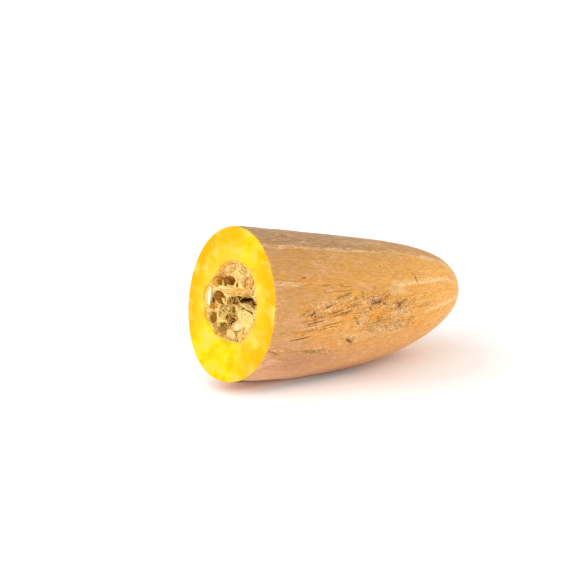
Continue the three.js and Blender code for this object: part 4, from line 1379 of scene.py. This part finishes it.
def pulpDepth(across, up):  # how far the torn front lies behind the cut
    place = np.stack([across, up, np.zeros_like(across)], axis=-1)
    depth = pulp["recess"] + 1.1 * softNoise(place / 9, 71) + 0.7 * softNoise(place / 3.6, 72)
    depth += 1.1 * np.abs(softNoise(place / [3.4, 1.8, 1], 73)) ** 0.7 + 0.35 * softNoise(place, 74)
    for spot in pits:
        depth += spot[5] * spotShare(across, up, spot)
    for spot in lumps:
        depth -= spot[5] * spotShare(across, up, spot, 2)
    for a, u, d, roll, lean, sway, *_ in seeds[:pulp["frontSeeds"]]:  # a bed for each
        flat = turnMatrix(roll, sway, lean)
        reach = (a, u, 1.05 * seed["halfLength"] * abs(flat[1, 1]) + 1.2, seed["halfWidth"] + 0.8, roll)
        share = spotShare(across, up, reach, 6)
        depth = depth * (1 - share) + np.maximum(depth, d + 0.9) * share
    hollow = pulp["hollow"]
    ragged = 1 + 0.18 * softNoise(place / 3.1, 75) + 0.14 * softNoise(place / 1.2, 76)
    x = (across - hollow["across"]) / (hollow["halfWidth"] * ragged)
    y = (up - hollow["up"] - hollow["slope"] * (across - hollow["across"])) / (hollow["halfHeight"] * ragged)
    y = y / (1 - 0.6 * np.clip(x, -1, 1))  # wider on one side
    opened = smoothStep(1.0, 0.5, np.sqrt(x ** 4 + y * y))
    ropes = np.abs(softNoise(place / [6.0, 1.5, 1], 77)) * opened
    return np.maximum(depth, 1.0) + hollow["depth"] * opened - hollow["ropes"] * ropes


def pulpTones(across, up, depth):
    tones = np.zeros((3,) + across.shape)
    across, up = across - pulp["lean"][0] * (depth - 4), up - pulp["lean"][1] * (depth - 4)
    for spot in pulpTints:
        tones = np.maximum(tones, np.multiply.outer(spot[5:8], spotShare(across, up, spot, 3)))
    return tones


def pulpBed():
    angle = 2 * math.pi * np.arange(pulp["columns"]) / pulp["columns"]
    share = np.linspace(1, 0, pulp["rows"] + 1)[:-1][:, None] ** 0.85
    rim = cavityPoint(np.full_like(angle, pulp["rimDepth"]), angle, lipNoise(angle) - 0.15)
    across = cavity["across"] + (rim[:, 1] - cavity["across"]) * share
    up = cavity["up"] + (rim[:, 2] - cavity["up"]) * share
    depth = pulpDepth(across, up)
    edge = smoothStep(0.94, 1.0, share)
    depth = depth * (1 - edge) + pulp["rimDepth"] * edge
    front = insidePoint(across, up, depth)

    deepTurn, near = pulp["back"]
    turn = np.linspace(deepTurn, math.asin(near / cavity["depth"]), pulp["backRows"])
    along, angle = np.meshgrid(np.sin(turn) * cavity["depth"], angle, indexing="ij")
    back = cavityPoint(along, angle, lipNoise(angle) * smoothStep(8, 3, along) + pulp["inset"])
    rings = np.concatenate([back, front])
    tones = np.concatenate([np.zeros((3,) + along.shape), pulpTones(across, up, depth)], axis=1)
    tones[2, :len(back)] = 0.4
    # painted shade: the back of the cavity wholly dark, the front bed darker the deeper it lies
    recessShade = np.concatenate([np.ones_like(along), smoothStep(8, 30, depth)])
    return rings, tones, recessShade


def tubes(path, radius, tone):  # closed round fibres, thinned at both ends
    along = np.gradient(path, axis=1)
    along /= np.linalg.norm(along, axis=-1, keepdims=True) + 1e-9
    across = np.cross(along, np.array([0.31, 0.27, 0.91]))
    across /= np.linalg.norm(across, axis=-1, keepdims=True) + 1e-9
    thin = np.sqrt(np.clip(1 - np.abs(np.linspace(-1, 1, path.shape[1])) ** 5, 0.06, 1))
    reach = radius[:, None] * thin
    return closedStrips(path, across, np.cross(along, across), reach, reach, tone)


def hidesSeed(paths):  # the share of each fibre that lies across one of the front seeds, seen from the front
    inward = np.array((0.589, 0.794, -0.151))  # the way one looks at the cut from the front
    hidden = np.zeros(paths.shape[:2], dtype=bool)
    for across, up, depth, roll, lean, sway, *_ in seeds[:pulp["frontSeeds"]]:
        turned = turnMatrix(roll, sway, lean)
        local = (paths - insidePoint(across, up, depth)) @ turned
        ray = inward @ turned
        reach = -local[..., 0] / ray[0]
        met = local + reach[..., None] * ray
        inside = (met[..., 1] / seed["halfLength"]) ** 2 + (met[..., 2] / seed["halfWidth"]) ** 2 < 1.0
        hidden |= inside & (reach > -2)
    return hidden.mean(axis=1)


def strandPaths(rng):
    t = np.linspace(0, 1, pulp["strandPoints"])
    bow, dip = np.sin(math.pi * t), smoothStep(0.16, 0.0, np.minimum(t, 1 - t))
    for count, start, stop, fronts, wave, radius, tone, varied, hides in strandSets:
        ends = [np.array([a, u]) + rng.uniform(-1, 1, (count, 2)) * spread for a, u, *spread in (start, stop)]
        line = ends[0][:, None] + (ends[1] - ends[0])[:, None] * t[:, None]
        phase = rng.uniform(0, 50, (count, 1, 1))[..., 0]
        drift = np.stack([t * 3 + phase, 0 * t + phase, 0 * t + 0 * phase], -1)
        across = line[..., 0] + wave * softNoise(drift, 81) * bow
        up = line[..., 1] + wave * (softNoise(drift, 82) * 1.6 + rng.uniform(-1, 1, (count, 1))) * bow
        front = rng.uniform(*fronts, (count, 1)) + 0.8 * softNoise(drift, 83)
        bed = pulpDepth(across, up)
        depth = np.minimum(front, bed - 0.2) * (1 - dip) + (bed + 0.3) * dip  # its ends go into the bed
        path = insidePoint(across, up, np.minimum(depth, front + 5))
        clear = hidesSeed(path) < hides
        radii = radius * rng.uniform(0.6, 1.5, count)
        change = np.array([0.15, 0.15, varied])[:, None]
        tones = np.array(tone)[:, None] + rng.uniform(-1, 1, (3, count)) * change
        yield path[clear], radii[clear], np.clip(tones, 0, 1)[:, clear]


def curlPaths(rng):
    t = np.linspace(0, 1, pulp["curlPoints"])
    for count, (a, u, *spread), lengths, radius, stand, bend, tone, hides, fronts in curls:
        middle = np.array([a, u]) + np.clip(rng.normal(0, 0.5, (count, 2)), -1.1, 1.1) * spread
        heading = rng.uniform(0, 2 * math.pi, (count, 1)) + bend * rng.normal(0, 0.6, (count, 1)) * (t - 0.5)
        heading = heading + 1.1 * softNoise(np.stack([t * 3 + 9.1 * np.arange(count)[:, None]] * 3, -1), 85)
        step = rng.uniform(*lengths, (count, 1)) / len(t)
        across = middle[:, :1] + np.cumsum(np.cos(heading) * step, axis=1)
        up = middle[:, 1:] + np.cumsum(np.sin(heading) * step * 0.8, axis=1)
        rise = rng.uniform(0.1, 1, (count, 1)) * stand * np.sin(math.pi * t) ** 0.7
        bed = pulpDepth(across, up)
        level = np.minimum(bed, np.median(bed, axis=1, keepdims=True) + 1.5)
        depth = np.maximum(level - rise, 0.4)
        if fronts:  # wisps that lie over the seeds
            depth = rng.uniform(*fronts, (count, 1)) + 0.5 * np.cos(3 * math.pi * t)
        path = insidePoint(across, up, depth)
        clear = hidesSeed(path) < hides
        radii = radius * rng.uniform(0.55, 1.4, count)
        tones = np.array(tone)[:, None] + rng.uniform(-0.2, 0.2, (3, count))
        yield path[clear], radii[clear], np.clip(tones, 0, 1)[:, clear]


def fringePaths(rng):  # torn ends that still hang from the lip
    count, steps = fringe["count"], fringe["points"]
    t = np.linspace(0, 1, steps)
    angle = (np.arange(count) + rng.uniform(-0.4, 0.4, count)) * 2 * math.pi / count
    rim = cavityPoint(np.full(count, 1.6), angle, lipNoise(angle) - 0.5)
    length = rng.uniform(*fringe["length"], (count, 1))
    heading = angle[:, None] + math.pi + rng.normal(0, 0.35, (count, 1)) + rng.normal(0, 0.9, (count, 1)) * t
    across = rim[:, 1:2] + np.cumsum(np.cos(heading), axis=1) * length / steps
    up = rim[:, 2:3] + np.cumsum(np.sin(heading), axis=1) * length / steps
    start = rng.uniform(1.3, 2.6, (count, 1))
    depth = np.minimum(start + (pulpDepth(across, up) - 0.2 - start) * t, start + 4)
    radii = fringe["radius"] * rng.uniform(0.6, 1.5, count)
    tones = np.array(fringe["tone"])[:, None] + rng.uniform(-0.3, 0.4, (3, count))
    yield insidePoint(across, up, depth), radii, np.clip(tones, 0, 1)


def addPulp():
    material = stringyPulp()
    rings, tones, recessShade = pulpBed()
    backEnd, frontEnd = [ring.mean(axis=0, keepdims=True) for ring in (rings[0], rings[-1])]
    points = np.concatenate([rings.reshape(-1, 3), backEnd, frontEnd])
    tones = np.concatenate([tones.reshape(3, -1), np.zeros((3, 2))], axis=1)
    recessShade = np.concatenate([recessShade.ravel(), [1, 0]])
    shapes = {"bed": (points, closedFaces(*rings.shape[:2], flipped=True), tones, recessShade)}
    rng = np.random.default_rng(11)
    for name, make in (("strands", strandPaths), ("curls", curlPaths), ("fringe", fringePaths)):
        points, faces, tones = joinParts([tubes(*fibres) for fibres in make(rng)])
        shapes[name] = points, faces, tones, np.zeros(len(points))
    for name, (points, faces, (brown, pink, gold), recessShade) in shapes.items():
        values = {
            "pulpPoint": points, "brownPart": brown, "pinkPart": pink, "goldPart": gold, "recessShadePart": recessShade}
        piece = addMesh("seed_pulp_" + name, toRow(points), faces, [material], values)
        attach(piece, "root")
        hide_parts("seed_pulp")
        print("pulp", name, len(piece.data.polygons), "faces")


# Pulp: wet, stringy and half clear; light passes into it, and it browns where it has dried; its pits, creases
# and deep hollow are darkened as painted shade

pulpFinish = {
    "finish": {
        "Roughness": 0.34, "IOR": 1.38, "Specular IOR Level": 0.08, "Subsurface Weight": 0.2,
        "Subsurface Radius": (1.0, 0.6, 0.25), "Subsurface Scale": 1.2 * mm},
    "colours": {
        "cream": "#FFE9A4",
        "gold": "#E0A02A",
        "pink": "#E8B468",
        "brown": "#8E5A08",
        "umber": "#503004",
        # painted shade for the back of the cavity and the deep hollow
        "deep": "#8A5C20",
    },
    "marks": {
        "goldBlots": ("pulpPoint", 2.5),
        "pinkBlots": ("pulpPoint", 2.857),
        "brownBlots": ("pulpPoint", 1.667),
        "umberBlots": ("pulpPoint", 0.909),
        "creases": ("pulpPoint", 1.111, 0, 3.0, 3.0),
        "flatCreases": ("pulpPoint", (2.0, 4.545, 0.909), 0, 3.0, 1.2),
        "grain": ("pulpPoint", 1.1, 0, 4.0),
    },
    "shading": {"low": (-0.5, -1.2, -2.6), "high": (0, 0, 0), "span": (0.36, 0.6)},
    "layers": [
        {"tint": "gold", "marks": "goldBlots", "span": (0.65, 1.45), "part": "goldPart", "reach": 1},
        {"tint": "pink", "marks": "pinkBlots", "span": (0.65, 1.3), "part": "pinkPart", "reach": 1},
        {"tint": "brown", "marks": "brownBlots", "span": (0.75, 1.2), "part": "brownPart", "reach": 1},
        {"tint": "umber", "marks": "umberBlots", "span": (1.25, 1.75), "part": "brownPart", "reach": 1},
        {"shade": 0.18, "marks": "creases"},  # painted shade between the fibres, browner where darker, laid at random
        {"shade": 0.18, "marks": "flatCreases"},
        # painted shade: darker where the bed lies deep
        {"tint": "deep", "marks": "recessShadePart"},
    ],
    "bumps": {"grain": (0.6, 0.5)},
}


def stringyPulp():
    material, tree, surface, colours, values = newMaterial(
        "wet_stringy_pulp", pulpFinish, ["goldPart", "pinkPart", "brownPart", "recessShadePart"], ["pulpPoint"])
    skin = addLayers(tree, colours["cream"], pulpFinish, colours, values)
    joinSurface(tree, surface, skin, pulpFinish, values)
    return material


def main():
    addCamera()
    addStudio()
    addSquash()
    addScabs()
    addPulp()
    addSeeds()
    plainBox = [[list(map(float, corner)) for corner in box] for box in (cadBox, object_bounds())]


main()
